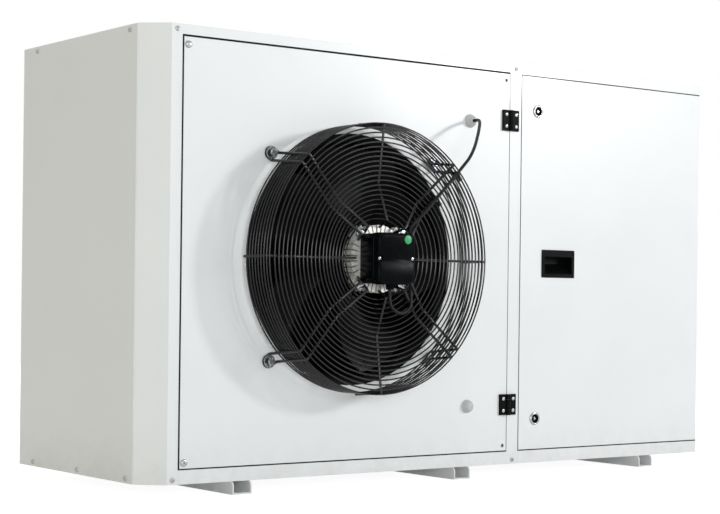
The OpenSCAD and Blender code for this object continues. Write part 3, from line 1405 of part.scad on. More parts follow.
module switchgear() color(grey_plastic) in_place()
    translate([partition_x + sheet_t, ebox_y + ebox_d - sheet_t, ebox_z]) {
        // Each device: middle along the rail, middle height, width, height and depth, as shares
        rail_z_shares = [0.68, 0.22];
        device_shares = [[0.16, 0.68, 0.16, 0.36, 0.68], [0.34, 0.68, 0.16, 0.38, 0.70],
            [0.60, 0.68, 0.25, 0.38, 0.55], [0.84, 0.68, 0.16, 0.34, 0.60],
            [0.38, 0.22, 0.52, 0.18, 0.40]];
        for (h = rail_z_shares)
            translate([sheet_t + fit_gap, -rail_t, h * ebox_h - rail_h / 2])
            cube([ebox_w - 2 * sheet_t - 2 * fit_gap, rail_t, rail_h]);
        for (s = device_shares)
            translate([(s[0] - s[2] / 2) * ebox_w, -rail_t - s[4] * ebox_d, (s[1] - s[3] / 2) * ebox_h])
            cube([s[2] * ebox_w, s[4] * ebox_d, s[3] * ebox_h]);
    }

module power_gland() color(black_plastic) in_place()
    translate([power_gland_x, case_d, power_gland_z]) facing("rear") difference() {
        union() {
            cylinder(h = gland_hex_t, r = gland_hex_r, $fn = 6);
            cylinder(h = gland_l_outside, r = gland_hex_r - 2 * sheet_t);
            translate([0, 0, -gland_l_outside])
            cylinder(h = gland_l_outside + overrun, d = gland_bore_d + 4 * sheet_t);
            translate([0, 0, -sheet_t - gland_hex_t]) cylinder(h = gland_hex_t, r = gland_hex_r, $fn = 6);
        }
        translate([0, 0, -2 * gland_l_outside]) cylinder(h = 4 * gland_l_outside, d = gland_bore_d);
    }

base_pan();
mounting_feet();
left_corner_post();
left_side_panel();
centre_post();
right_side_panel();
rear_panel();
top_frame();
top_lid();
partition_wall();
housing_screws();
condenser_fins();
condenser_frame();
condenser_tubes();
fan_panel();
fan_nozzle();
guard_face_rings();
guard_rim_rings();
guard_arms();
guard_bolts();
motor_flange();
motor_screws();
terminal_box();
terminal_cover();
motor_stator();
motor_bearings();
rotor();
impeller_blades();
fan_lead();
lead_ties();
panel_glands();
box_gland();
hinge_panel_leaves();
hinge_post_leaves();
hinge_pins();
hinge_panel_screws();
hinge_post_screws();
fan_panel_screws();
service_door();
door_insulation();
pull_handle();
lock_bodies();
upper_lock_plug();
lower_lock_plug();
door_pivot_pins();
compressor_shell();
compressor_grommets();
compressor_studs();
compressor_terminal_cover();
crankcase_heater();
liquid_receiver();
filter_drier();
sight_glass();
refrigerant_pipes();
service_valves();
pressure_switches();
electric_box();
electric_box_cover();
switchgear();
power_gland();
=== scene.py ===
# %% [markdown]
# # A condensing unit
# This lesson dresses the CAD model of an air-cooled condensing unit: a white sheet-steel housing, one
# axial fan behind a wire guard, and a compressor bay behind a service door. The CAD model gives every
# place and size. Blender adds what a maker's drawing leaves out, such as rounded edges, real screw heads,
# thin coil fins and the finish of each material.

import json
import math

import bmesh
import bpy
from mathutils import Matrix, Vector

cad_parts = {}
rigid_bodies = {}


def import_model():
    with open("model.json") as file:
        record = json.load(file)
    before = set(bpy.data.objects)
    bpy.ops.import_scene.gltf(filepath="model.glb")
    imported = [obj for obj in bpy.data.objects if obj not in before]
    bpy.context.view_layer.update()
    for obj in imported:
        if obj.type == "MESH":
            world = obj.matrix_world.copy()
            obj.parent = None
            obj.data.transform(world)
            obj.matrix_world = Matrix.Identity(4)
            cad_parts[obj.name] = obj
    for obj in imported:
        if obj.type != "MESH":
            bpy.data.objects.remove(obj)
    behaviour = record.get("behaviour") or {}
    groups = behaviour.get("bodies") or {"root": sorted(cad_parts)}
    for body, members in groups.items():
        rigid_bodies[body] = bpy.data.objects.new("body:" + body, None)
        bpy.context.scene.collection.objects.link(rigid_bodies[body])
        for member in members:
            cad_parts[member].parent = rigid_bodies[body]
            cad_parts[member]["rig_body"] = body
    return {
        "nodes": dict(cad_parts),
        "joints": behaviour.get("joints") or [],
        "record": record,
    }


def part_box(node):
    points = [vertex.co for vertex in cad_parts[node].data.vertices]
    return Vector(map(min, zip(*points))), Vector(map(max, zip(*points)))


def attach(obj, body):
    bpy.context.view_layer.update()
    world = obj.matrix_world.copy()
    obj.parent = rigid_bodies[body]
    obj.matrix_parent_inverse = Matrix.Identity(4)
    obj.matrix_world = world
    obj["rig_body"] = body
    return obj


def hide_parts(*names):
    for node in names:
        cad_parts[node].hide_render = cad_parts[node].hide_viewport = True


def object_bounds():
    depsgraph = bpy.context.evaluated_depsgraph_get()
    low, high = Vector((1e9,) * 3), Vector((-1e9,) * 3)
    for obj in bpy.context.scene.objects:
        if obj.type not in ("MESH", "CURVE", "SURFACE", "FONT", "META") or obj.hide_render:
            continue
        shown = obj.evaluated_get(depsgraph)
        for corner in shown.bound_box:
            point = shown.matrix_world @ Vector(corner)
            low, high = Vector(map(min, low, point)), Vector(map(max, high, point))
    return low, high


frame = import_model()
cad_nodes = frame["nodes"]
cad_low, cad_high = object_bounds()
scene = bpy.context.scene
MM = 0.001
print("CAD box", [round(v, 3) for v in cad_high - cad_low])

# %% [markdown]
# ## Camera
# The photograph was taken with a long lens a little to the left of the unit, almost level with the
# ground. A camera was fitted to the housing's corners. Its direction is built from three angles, and the
# picture is shifted down, which keeps the uprights parallel.

# %% Camera
PICTURE_WIDTH = 720
FOCAL_PIXELS = 1734.97
HORIZON_SHIFT = 41.03
SENSOR = 36
YAW, PITCH, ROLL = (math.radians(a) for a in (36.968, 0.046, 0.682))
STAND = Vector((-2.33865, -3.00950, 0.37059))


def camera_axes(yaw, pitch, roll):
    """The camera's right, up and forward directions."""
    forward = Vector((math.sin(yaw) * math.cos(pitch), math.cos(yaw) * math.cos(pitch), math.sin(pitch)))
    level = Vector((math.cos(yaw), -math.sin(yaw), 0))
    upright = level.cross(forward)
    right = math.cos(roll) * level + math.sin(roll) * upright
    return right, math.cos(roll) * upright - math.sin(roll) * level, forward


right, up, forward = camera_axes(YAW, PITCH, ROLL)
camera = bpy.data.objects.new("camera", bpy.data.cameras.new("camera"))
camera.data.sensor_width = SENSOR
camera.data.lens = SENSOR * FOCAL_PIXELS / PICTURE_WIDTH
camera.data.shift_y = HORIZON_SHIFT / PICTURE_WIDTH
camera.data.clip_end = 100
camera.matrix_world = Matrix.Translation(STAND) @ Matrix((right, up, -forward)).transposed().to_4x4()
scene.collection.objects.link(camera)
scene.camera = camera
scene.view_settings.view_transform = "Standard"
print("lens", round(camera.data.lens, 2), "mm")

# %% [markdown]
# ## Nodes without long lists
# A material or a Geometry Nodes tree is a net of nodes. Two small classes keep it readable: `Nodes` adds
# one node with its settings and inputs in a single call, and `Field` wraps a socket so that Python's own
# operators add the Math nodes.


# %% Nodes and fields
class Field:
    """A number that changes over a surface, as a socket that Python's operators work on."""

    def __init__(self, nodes, socket):
        self.nodes = nodes
        self.socket = socket

    def _maths(self, operation, first, second, clamp=False):
        return self.nodes.field(
            "ShaderNodeMath", {"operation": operation, "use_clamp": clamp}, {0: first, 1: second}
        )

    def __add__(self, other):
        return self._maths("ADD", self, other)

    __radd__ = __add__

    def __sub__(self, other):
        return self._maths("SUBTRACT", self, other)

    def __rsub__(self, other):
        return self._maths("SUBTRACT", other, self)

    def __mul__(self, other):
        return self._maths("MULTIPLY", self, other)

    __rmul__ = __mul__

    def __truediv__(self, other):
        return self._maths("DIVIDE", self, other)

    def __pow__(self, other):
        return self._maths("POWER", self, other)

    def held(self):
        """The same number, held between 0 and 1."""
        return self._maths("ADD", self, 0.0, clamp=True)


class Nodes:
    """Adds nodes to one tree."""

    def __init__(self, tree):
        self.tree = tree

    def add(self, kind, settings=None, inputs=None):
        """One node: its settings first, then the values or links of its sockets."""
        node = self.tree.nodes.new(kind)
        for key, value in (settings or {}).items():
            setattr(node, key, value)
        for key, value in (inputs or {}).items():
            self.feed(node.inputs[key], value)
        return node

    def feed(self, socket, value):
        """Links a socket to another one, or sets its own value."""
        value = getattr(value, "socket", value)
        if isinstance(value, bpy.types.NodeSocket):
            self.tree.links.new(value, socket)
        else:
            socket.default_value = value

    def field(self, kind, settings=None, inputs=None, output=0):
        """One output of a new node, ready for arithmetic."""
        return Field(self, self.add(kind, settings, inputs).outputs[output])

    def blend(self, amount, first, second):
        """A colour between two others."""
        settings = {"data_type": "RGBA", "clamp_factor": True}
        return self.field("ShaderNodeMix", settings, {0: amount, 6: first, 7: second}, 2)


# %% [markdown]
# ## Finishes
# No real surface has one flat colour. Powder coat has a fine orange peel and cast metal a coarse skin,
# and zinc shows the crystals of its bath. Each finish here starts from the same recipe: two close colours
# mixed by a large noise, a roughness that follows it, and a small noise that lifts the surface by a real
# height in metres. The patterns read Object coordinates, so they have real sizes.


# %% The recipe of a finish
def colour(red, green, blue):
    """A colour with its alpha."""
    return (red, green, blue, 1.0)


class Finish:
    """A material that starts with a mottled colour, a matching roughness and a fine relief."""

    def __init__(self, name, first, second, roughness, metallic=0.0, coat=0.0, stretch=(1, 1, 1), gloss=0.5):
        self.material = bpy.data.materials.new(name)
        self.material.use_nodes = True
        self.nodes = Nodes(self.material.node_tree)
        self.shader = self.material.node_tree.nodes["Principled BSDF"]
        self.shader.inputs["Metallic"].default_value = metallic
        self.shader.inputs["Coat Weight"].default_value = coat
        self.shader.inputs["Coat Roughness"].default_value = 0.08
        self.shader.inputs["Specular IOR Level"].default_value = gloss
        self.material.diffuse_color = first
        place = self.nodes.add("ShaderNodeTexCoord").outputs["Object"]
        self.place = self.nodes.add("ShaderNodeMapping", {}, {"Vector": place, "Scale": stretch}).outputs[0]
        self.height = self.nodes.field("ShaderNodeSeparateXYZ", {}, {0: place}, 2)
        self.first, self.second, self.roughness = first, second, roughness
        self.tone = None

    def noise(self, scale, detail=2.0, roughness=0.5):
        """A noise with about `scale` lumps in each metre."""
        inputs = {"Vector": self.place, "Scale": scale, "Detail": detail, "Roughness": roughness}
        return self.nodes.field("ShaderNodeTexNoise", {}, inputs)

    def mottled(self, scale, spread, contrast=2.0):
        """Mixes the two colours in lumps and lets the roughness follow them."""
        lumps = ((self.noise(scale, 4.0) - 0.5) * contrast + 0.5).held()
        self.tone = self.nodes.blend(lumps, self.first, self.second)
        self.sheen = (lumps - 0.5) * spread + self.roughness
        return self

    def skin(self, scale, height, detail=2.0):
        """Lifts the surface by a fine noise."""
        bump = {"Height": self.noise(scale, detail), "Distance": height, "Strength": 1.0}
        self.nodes.feed(self.shader.inputs["Normal"], self.nodes.add("ShaderNodeBump", {}, bump).outputs[0])
        return self

    def dusted(self, dust, amount, top=0.16):
        """Lets a little dust gather near the ground."""
        low = ((top - self.height) / top).held() ** 2.0
        patch = (self.noise(26.0, 5.0, 0.7) * 2.4 - 0.7).held()
        self.tone = self.nodes.blend(low * patch * amount, self.tone, dust)
        self.sheen = self.sheen + low * patch * 0.2
        return self

    def done(self):
        self.nodes.feed(self.shader.inputs["Base Color"], self.tone)
        self.nodes.feed(self.shader.inputs["Roughness"], self.sheen)
        return self.material


def finished(name, first, second, roughness, lumps, skin, dust=0.0, **more):
    """A whole finish: `lumps` is their scale and spread, and `skin` its scale and height in metres."""
    recipe = Finish(name, colour(*first), colour(*second), roughness, **more).mottled(*lumps).skin(*skin)
    if dust:
        recipe.dusted(DUST, dust)
    return recipe.done()


# %% Paint, plastic and rubber
DUST = colour(0.42, 0.40, 0.36)
powder_coat = finished("white_powder_coat", (0.79, 0.81, 0.82), (0.82, 0.835, 0.84), 0.34,
                       (5.0, 0.10), (420.0, 0.00006), coat=0.15, dust=0.35)
guard_coat = finished("black_guard_coat", (0.002, 0.002, 0.0025), (0.004, 0.004, 0.0045), 0.16,
                      (40.0, 0.12), (900.0, 0.00004), gloss=0.36)
# The fan's mouth ring is painted near-black: painted shade for the dark inside of the fan bay.
fan_mouth_painted_shade = finished("black_fan_mouth_painted_shade", (0.0015, 0.0015, 0.0015), (0.003, 0.003, 0.003), 0.45,
                         (30.0, 0.12), (800.0, 0.00005), gloss=0.05)
box_plastic = finished("black_box_plastic", (0.0012, 0.0016, 0.0022), (0.0022, 0.0028, 0.0036), 0.26,
                       (60.0, 0.10), (1600.0, 0.00003), gloss=0.03)
rotor_coat = finished("black_rotor_coat", (0.002, 0.002, 0.0025), (0.005, 0.005, 0.0055), 0.36,
                      (50.0, 0.14), (1300.0, 0.00005), gloss=0.06)
blade_coat = finished("black_blade_coat", (0.0015, 0.0015, 0.002), (0.003, 0.003, 0.0035), 0.20,
                      (30.0, 0.16), (1100.0, 0.00004), gloss=0.05)
lead_sheath = finished("black_lead_sheath", (0.006, 0.006, 0.007), (0.011, 0.011, 0.012), 0.42,
                       (90.0, 0.14), (1500.0, 0.00005), gloss=0.16)
tie_nylon = finished("black_tie_nylon", (0.006, 0.006, 0.007), (0.011, 0.011, 0.012), 0.38,
                     (120.0, 0.10), (1800.0, 0.00003), gloss=0.16)
grey_plastic = finished("light_grey_plastic", (0.46, 0.47, 0.47), (0.54, 0.55, 0.55), 0.42,
                        (45.0, 0.10), (1500.0, 0.00004))
hinge_plastic = finished("black_hinge_coat", (0.0025, 0.0025, 0.003), (0.005, 0.005, 0.0055), 0.42,
                         (70.0, 0.12), (1000.0, 0.00008), gloss=0.04)
handle_plastic = finished("black_handle_plastic", (0.002, 0.002, 0.0025), (0.004, 0.0045, 0.0045), 0.35,
                          (60.0, 0.10), (1300.0, 0.00006), gloss=0.05)
door_foam = finished("grey_door_foam", (0.060, 0.060, 0.064), (0.105, 0.105, 0.110), 0.92,
                     (160.0, 0.10, 3.0), (320.0, 0.0007, 3.0))
vessel_paint = finished("black_vessel_paint", (0.010, 0.010, 0.011), (0.022, 0.022, 0.023), 0.36,
                        (24.0, 0.18), (700.0, 0.00010))
grommet_rubber = finished("black_grommet_rubber", (0.016, 0.016, 0.016), (0.030, 0.030, 0.030), 0.75,
                          (80.0, 0.12), (900.0, 0.00010))
# Near-black, for the painted shade in the gaps round the fan panel and the door.
gap_shade_black = finished("black_gap_painted_shade", (0.008, 0.008, 0.008), (0.016, 0.016, 0.016), 0.85,
                     (200.0, 0.08), (1500.0, 0.00006), gloss=0.2)
heater_silicone = finished("red_heater_silicone", (0.42, 0.10, 0.045), (0.50, 0.14, 0.06), 0.55,
                           (50.0, 0.12), (700.0, 0.00012))
drier_paint = finished("blue_drier_paint", (0.02, 0.07, 0.24), (0.03, 0.09, 0.29), 0.33,
                       (30.0, 0.12), (800.0, 0.00006), coat=0.2)
green_paint = finished("green_dot_paint", (0.008, 0.30, 0.085), (0.018, 0.37, 0.12), 0.4,
                       (300.0, 0.08), (2000.0, 0.00002))

# %% [markdown]
# Bare metals need a second idea. Hot-dip zinc freezes in crystals about a centimetre across, so its
# brightness changes from cell to cell. Cast aluminium has a pitted skin, and drawn copper has soft brown
# patches. The coil lies in shade and looks black through the guard, so its fins are painted black with
# upright streaks, as painted shade.


# %% Bare metals
def zinc_sheet():
    """Galvanised sheet: every crystal has its own brightness and polish."""
    finish = Finish("zinc_sheet", colour(0.46, 0.47, 0.48), colour(0.58, 0.59, 0.60), 0.40, metallic=0.9)
    cells = finish.nodes.add("ShaderNodeTexVoronoi", {}, {"Vector": finish.place, "Scale": 85.0})
    crystal = finish.nodes.field("ShaderNodeSeparateColor", {}, {0: cells.outputs["Color"]})
    cloud = finish.noise(9.0, 4.0)
    finish.tone = finish.nodes.blend(crystal * 0.6 + cloud * 0.4, finish.first, finish.second)
    finish.sheen = crystal * 0.14 + finish.roughness
    return finish.skin(900.0, 0.00005).done()


zinc = zinc_sheet()
bright_zinc = finished("bright_zinc", (0.26, 0.28, 0.30), (0.46, 0.48, 0.50), 0.24,
                       (260.0, 0.16), (2200.0, 0.00003), metallic=1.0)
lock_chrome = finished("lock_chrome", (0.30, 0.30, 0.31), (0.44, 0.44, 0.45), 0.18,
                       (150.0, 0.10), (1500.0, 0.00002), metallic=1.0)
cast_metal = finished("cast_aluminium", (0.60, 0.59, 0.56), (0.82, 0.81, 0.78), 0.40,
                      (190.0, 0.22), (900.0, 0.00014, 3.0), metallic=0.45)
motor_steel = finished("motor_steel", (0.30, 0.30, 0.31), (0.40, 0.40, 0.41), 0.42,
                       (60.0, 0.16), (1400.0, 0.00004), metallic=0.9)
# The coil's fins are painted near-black: painted shade for the dark inside of the fan bay.
fins_painted_shade = finished("fins_black_painted_shade", (0.010, 0.010, 0.011), (0.024, 0.024, 0.025), 0.46,
                    (70.0, 0.18), (600.0, 0.00005), stretch=(1, 1, 0.12), gloss=0.25)
copper = finished("drawn_copper", (0.62, 0.27, 0.15), (0.80, 0.42, 0.28), 0.30,
                  (16.0, 0.20), (1200.0, 0.00003), metallic=1.0)
brass = finished("valve_brass", (0.58, 0.42, 0.17), (0.72, 0.55, 0.26), 0.30,
                 (40.0, 0.16), (1300.0, 0.00004), metallic=1.0)
FINISHES = {
    "white_paint": powder_coat,
    "zinc_sheet": zinc,
    "screw_steel": bright_zinc,
    "coil_fins": fins_painted_shade,
    "copper_tube": copper,
    "guard_wire": guard_coat,
    "cast_motor": cast_metal,
    "motor_steel": motor_steel,
    "box_plastic": box_plastic,
    "rotor_black": rotor_coat,
    "blade_black": blade_coat,
    "lead_rubber": lead_sheath,
    "tie_plastic": tie_nylon,
    "grey_plastic": grey_plastic,
    "hinge_black": hinge_plastic,
    "door_foam": door_foam,
    "handle_plastic": handle_plastic,
    "compressor_black": vessel_paint,
    "grommet_rubber": grommet_rubber,
    "heater_silicone": heater_silicone,
    "drier_paint": drier_paint,
    "valve_brass": brass,
}
SLOT_OF = {piece["node"]: piece["material_slot"] for piece in frame["record"]["subparts"]}
print(len(FINISHES), "finishes for", len(SLOT_OF), "nodes")

# %% [markdown]
# ## Helpers for pieces
# A piece that takes the place of a CAD node rides on the same body and takes the same finish. One helper
# does this for every piece, and prints how many triangles it has.

# %% Helpers for pieces
FAN = Vector(next(j["pos_m"] for j in frame["joints"] if j["name"] == "fan_spin"))
TO_FRONT = Matrix.Rotation(math.radians(90), 4, "X")
SHARP = math.radians(35)


def at(x, y, z):
    """A point in millimetres from the fan's axis and the front face."""
    return FAN + Vector((x, y, z)) * MM


def new_object(name, mesh):
    """Puts a mesh in the scene as an object."""
    piece = bpy.data.objects.new(name, mesh)
    scene.collection.objects.link(piece)
    return piece


def settle(piece, finish, body, replaced=()):
    """Gives a piece its finish, its body and the CAD nodes that it stands for."""
    piece.data.materials.clear()
    piece.data.materials.append(finish)
    if "custom_normal" not in piece.data.attributes:
        piece.data.polygons.foreach_set("use_smooth", [True] * len(piece.data.polygons))
        piece.data.set_sharp_from_angle(angle=SHARP)
    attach(piece, body)
    if replaced:
        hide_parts(*replaced)
    triangles = sum(len(face.vertices) - 2 for face in piece.data.polygons)
    print(f"{piece.name}: {triangles} triangles on {body}")
    return piece


def solid_mesh(name, points, faces, merge=1e-7):
    """A closed mesh whose faces point outwards."""
    mesh = bpy.data.meshes.new(name)
    mesh.from_pydata([tuple(p) for p in points], [], faces)
    shape = bmesh.new()
    shape.from_mesh(mesh)
    bmesh.ops.remove_doubles(shape, verts=shape.verts, dist=merge)
    bmesh.ops.dissolve_degenerate(shape, edges=shape.edges, dist=merge)
    bmesh.ops.recalc_face_normals(shape, faces=shape.faces)
    shape.to_mesh(mesh)
    shape.free()
    return mesh


def baked(piece):
    """Turns a piece's modifiers into its mesh."""
    bpy.context.view_layer.update()
    graph = bpy.context.evaluated_depsgraph_get()
    mesh = bpy.data.meshes.new_from_object(piece.evaluated_get(graph))
    piece.modifiers.clear()
    piece.data = mesh
    return piece


def joined(name, meshes):
    """Several meshes as one."""
    shape = bmesh.new()
    for mesh in meshes:
        shape.from_mesh(mesh)
    mesh = bpy.data.meshes.new(name)
    shape.to_mesh(mesh)
    shape.free()
    return mesh


# %% [markdown]
# ## Lofted and turned shapes
# A moulded box and a screw head have the same plan: a row of closed outlines, one behind the other,
# joined by faces. `skinned` joins them. `turned` makes the outlines itself from radii, where a radius may
# be a number or a rule of the angle, which gives a hexagon or a screw's cross recess.


# %% Lofted and turned shapes
def skinned(name, rings, loop=False):
    """A closed mesh through rings with equal numbers of points."""
    count = len(rings[0])
    points = [p for ring in rings for p in ring]
    faces = []
    for i in range(len(rings) if loop else len(rings) - 1):
        below, above = i * count, (i + 1) % len(rings) * count
        for k in range(count):
            n = (k + 1) % count
            faces.append((below + k, below + n, above + n, above + k))
    if not loop:
        faces += [tuple(range(count)), tuple(range(len(points) - count, len(points)))]
    return solid_mesh(name, points, faces)


def turned(name, profile, segments=32, loop=False):
    """A shape round +Z. Its profile is a row of (radius or rule, height)."""
    angles = [2 * math.pi * k / segments for k in range(segments)]
    rings = []
    for radius, height in profile:
        rule = radius if callable(radius) else lambda angle, r=radius: r
        rings.append([Vector((rule(a) * math.cos(a), rule(a) * math.sin(a), height)) for a in angles])
    return skinned(name, rings, loop)


def in_mm(profile):
    """A profile written in millimetres, for `turned`."""
    return [((lambda a, r=r: r(a) * MM) if callable(r) else r * MM, z * MM) for r, z in profile]


def hexagon(flat, most=1.0):
    """The outline of a hexagon with that distance from its middle to a flat."""
    third = math.radians(60)
    return lambda angle: min(flat / math.cos(angle % third - third / 2), most)


def cross(reach, hollow):
    """The outline of a screw's cross recess."""
    quarter = math.radians(90)
    return lambda angle: reach if abs((angle + quarter / 2) % quarter - quarter / 2) < 0.28 else hollow


def rounded_outline(half_x, half_z, radius, steps=8):
    """A rounded rectangle in x and z, as points round its middle."""
    outline = []
    for corner, (x, z) in enumerate([(1, 1), (-1, 1), (-1, -1), (1, -1)]):
        for step in range(steps + 1):
            angle = math.radians(90) * (corner + step / steps)
            outline.append((x * (half_x - radius) + radius * math.cos(angle),
                            z * (half_z - radius) + radius * math.sin(angle)))
    return outline


def placed(mesh, matrix):
    """The same mesh, moved by a matrix."""
    mesh.transform(matrix)
    return mesh


def facing_front(mesh, place):
    """Puts a mesh that was turned round +Z at a place, with its +Z towards the front."""
    return placed(mesh, Matrix.Translation(place) @ TO_FRONT)


# %% [markdown]
# ## Folded sheet and small castings
# The CAD model's edges are knife-sharp, but a folded sheet has a small radius and powder coat rounds it
# further, and that is where light catches. Each node here is copied, welded and bevelled by the width
# that its material would have. The widest bevels go to the moulded and cast pieces. The rear panel keeps
# its edges, because a rounding tears the faces between its louvres.

# %% Rounded copies of CAD nodes
EDGES = {
    "base_pan": 0.5, "mounting_feet": 0.8, "left_corner_post": 0.5, "left_side_panel": 0.5,
    "centre_post": 0.5, "right_side_panel": 0.5, "rear_panel": 0, "top_frame": 0.3, "top_lid": 0.6,
    "partition_wall": 0.3, "condenser_frame": 0.3, "condenser_tubes": 0, "fan_panel": 0.6,
    "fan_nozzle": 0.2, "motor_flange": 1.2, "motor_stator": 0.3, "motor_bearings": 0.3,
    "box_gland": 0.4, "lead_ties": 0.3, "hinge_panel_leaves": 0.9, "hinge_post_leaves": 0.9,
    "hinge_pins": 0.4, "service_door": 0.6, "door_insulation": 1.0, "pull_handle": 0.8,
    "door_pivot_pins": 0.4, "compressor_shell": 0.5, "compressor_grommets": 1.0, "compressor_studs": 0.4,
    "compressor_terminal_cover": 3.0, "crankcase_heater": 0.5, "liquid_receiver": 0.5,
    "filter_drier": 0, "sight_glass": 0.4, "refrigerant_pipes": 0, "service_valves": 0.5,
    "pressure_switches": 1.2, "electric_box": 0.3, "electric_box_cover": 0.4, "switchgear": 1.0,
    "power_gland": 0.4,
}


def welded(node):
    """A CAD node's triangles as one closed mesh with flat faces."""
    mesh = cad_nodes[node].data.copy()
    if "custom_normal" in mesh.attributes:
        mesh.attributes.remove(mesh.attributes["custom_normal"])
    shape = bmesh.new()
    shape.from_mesh(mesh)
    bmesh.ops.remove_doubles(shape, verts=shape.verts, dist=2e-6)
    bmesh.ops.dissolve_limit(shape, angle_limit=math.radians(0.5), verts=shape.verts, edges=shape.edges)
    shape.to_mesh(mesh)
    shape.free()
    return mesh


def level(piece):
    """Keeps large flat faces flat where a small rounding meets them."""
    piece.data.polygons.foreach_set("use_smooth", [True] * len(piece.data.polygons))
    piece.data.set_sharp_from_angle(angle=SHARP)
    weights = piece.modifiers.new("level", "WEIGHTED_NORMAL")
    weights.keep_sharp = True
    return baked(piece)


def round_edges(piece, width):
    """Adds a rounding of that many millimetres to a piece's sharp edges."""
    bevel = piece.modifiers.new("rounding", "BEVEL")
    bevel.width = width * MM
    bevel.segments = 2
    bevel.limit_method = "ANGLE"
    bevel.angle_limit = SHARP
    return bevel


def rounded_copy(node, width):
    """A copy of a CAD node with its edges rounded by that many millimetres."""
    piece = new_object(f"{node}_dressed", welded(node))
    if width:
        round_edges(piece, width).miter_outer = "MITER_ARC"
        baked(piece)
        level(piece)
    # The fan's mouth ring takes the near-black painted shade instead of its slot's finish.
    if node == "fan_nozzle":
        return settle(piece, fan_mouth_painted_shade, cad_nodes[node]["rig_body"], [node])
    return settle(piece, FINISHES[SLOT_OF[node]], cad_nodes[node]["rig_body"], [node])


for node, width in EDGES.items():
    rounded_copy(node, width)

# %% [markdown]
# ## Painted shade in the gaps
# A dark line of shade runs round the fan panel and the service door. It is painted here as a thin black frame
# in the gap, a little wider than the gap itself: painted shade. The frame is made of mitred strips, so four
# rings of points are enough, joined in a loop. The door has no strip at its right edge, where it is hinged,
# because its lining would pass through it as it opens.


# %% Painted shade in the gaps
SHADE_PROUD, SHADE_DEPTH = 0.35 * MM, 6.0 * MM


def gap_shade_frame(name, low, high, over, open_right=False):
    """A black frame of painted shade round an opening. `over` is how far it covers, in mm: left, right,
    bottom, top.
    """
    left, right, bottom, top = (width * MM for width in over)
    front, back = low.y - SHADE_PROUD, low.y + SHADE_DEPTH

    def corners(side):
        return [(low.x + side * left, low.z + side * bottom), (high.x - side * right, low.z + side * bottom),
                (high.x - side * right, high.z - side * top), (low.x + side * left, high.z - side * top)]

    rows = [[Vector((ox, front, oz)), Vector((ix, front, iz)), Vector((ix, back, iz)), Vector((ox, back, oz))]
            for (ox, oz), (ix, iz) in zip(corners(-1), corners(1))]
    if open_right:
        rows = [rows[1], rows[0], rows[3], rows[2]]
    frame_mesh = skinned(name, rows, not open_right)
    # The frame is near-black: painted shade in the gap.
    return settle(new_object(name, frame_mesh), gap_shade_black, "housing")


panel_low, panel_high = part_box("fan_panel")
door_low, door_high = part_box("service_door")
GAP = Vector((0.75, 0, 0.75)) * MM
gap_shade_frame("panel_seal", panel_low - GAP, panel_high + GAP, (1.7, 0.5, 1.3, 1.9))
gap_shade_frame("door_seal", door_low - GAP, door_high + GAP * 0.2, (0.9, 0.05, 1.2, 1.0), True)

# %% [markdown]
# ## Fan guard
# The guard is welded from round wire: rings round the rim, rings across the face, four double arms with
# an eye for each bolt, and four single spokes. Both kinds of ring follow a rule, and an arm follows a
# bent path four times round the fan, so Geometry Nodes make them all: circles or paths in, round wire out.


# %% Two trees for wire
def new_tree(name, sizes):
    """An empty Geometry Nodes tree with named inputs: (name, kind of socket, value)."""
    tree = bpy.data.node_groups.new(name, "GeometryNodeTree")
    tree.interface.new_socket("Geometry", in_out="INPUT", socket_type="NodeSocketGeometry")
    for label, kind, value in sizes:
        socket = tree.interface.new_socket(label, in_out="INPUT", socket_type=kind)
        if value is not None:
            socket.default_value = value
    tree.interface.new_socket("Geometry", in_out="OUTPUT", socket_type="NodeSocketGeometry")
    nodes = Nodes(tree)
    return nodes, nodes.add("NodeGroupInput").outputs, nodes.add("NodeGroupOutput").inputs[0]


def grown(name, tree, values, source=None):
    """The mesh that a tree makes from a source mesh, as an object of its own."""
    piece = new_object(name, source or bpy.data.meshes.new(name))
    modifier = piece.modifiers.new("grow", "NODES")
    modifier.node_group = tree
    for socket in tree.interface.items_tree:
        if socket.in_out == "INPUT" and socket.name in values:
            modifier[socket.identifier] = values[socket.name]
    return baked(piece)


def finish_tree(nodes, inputs, output, geometry):
    """Ends a tree with real geometry and its material."""
    real = nodes.add("GeometryNodeRealizeInstances", {}, {0: geometry}).outputs[0]
    painted = nodes.add("GeometryNodeSetMaterial", {}, {"Geometry": real, "Material": inputs["Finish"]})
    nodes.feed(output, painted.outputs[0])


def wire(nodes, curves, thickness, sides):
    """Round wire along curves."""
    outline = nodes.add("GeometryNodeCurvePrimitiveCircle", {}, {
        "Resolution": sides, "Radius": thickness * 0.5})
    inputs = {"Curve": curves, "Profile Curve": outline.outputs["Curve"], "Fill Caps": True}
    return nodes.add("GeometryNodeCurveToMesh", {}, inputs).outputs[0]


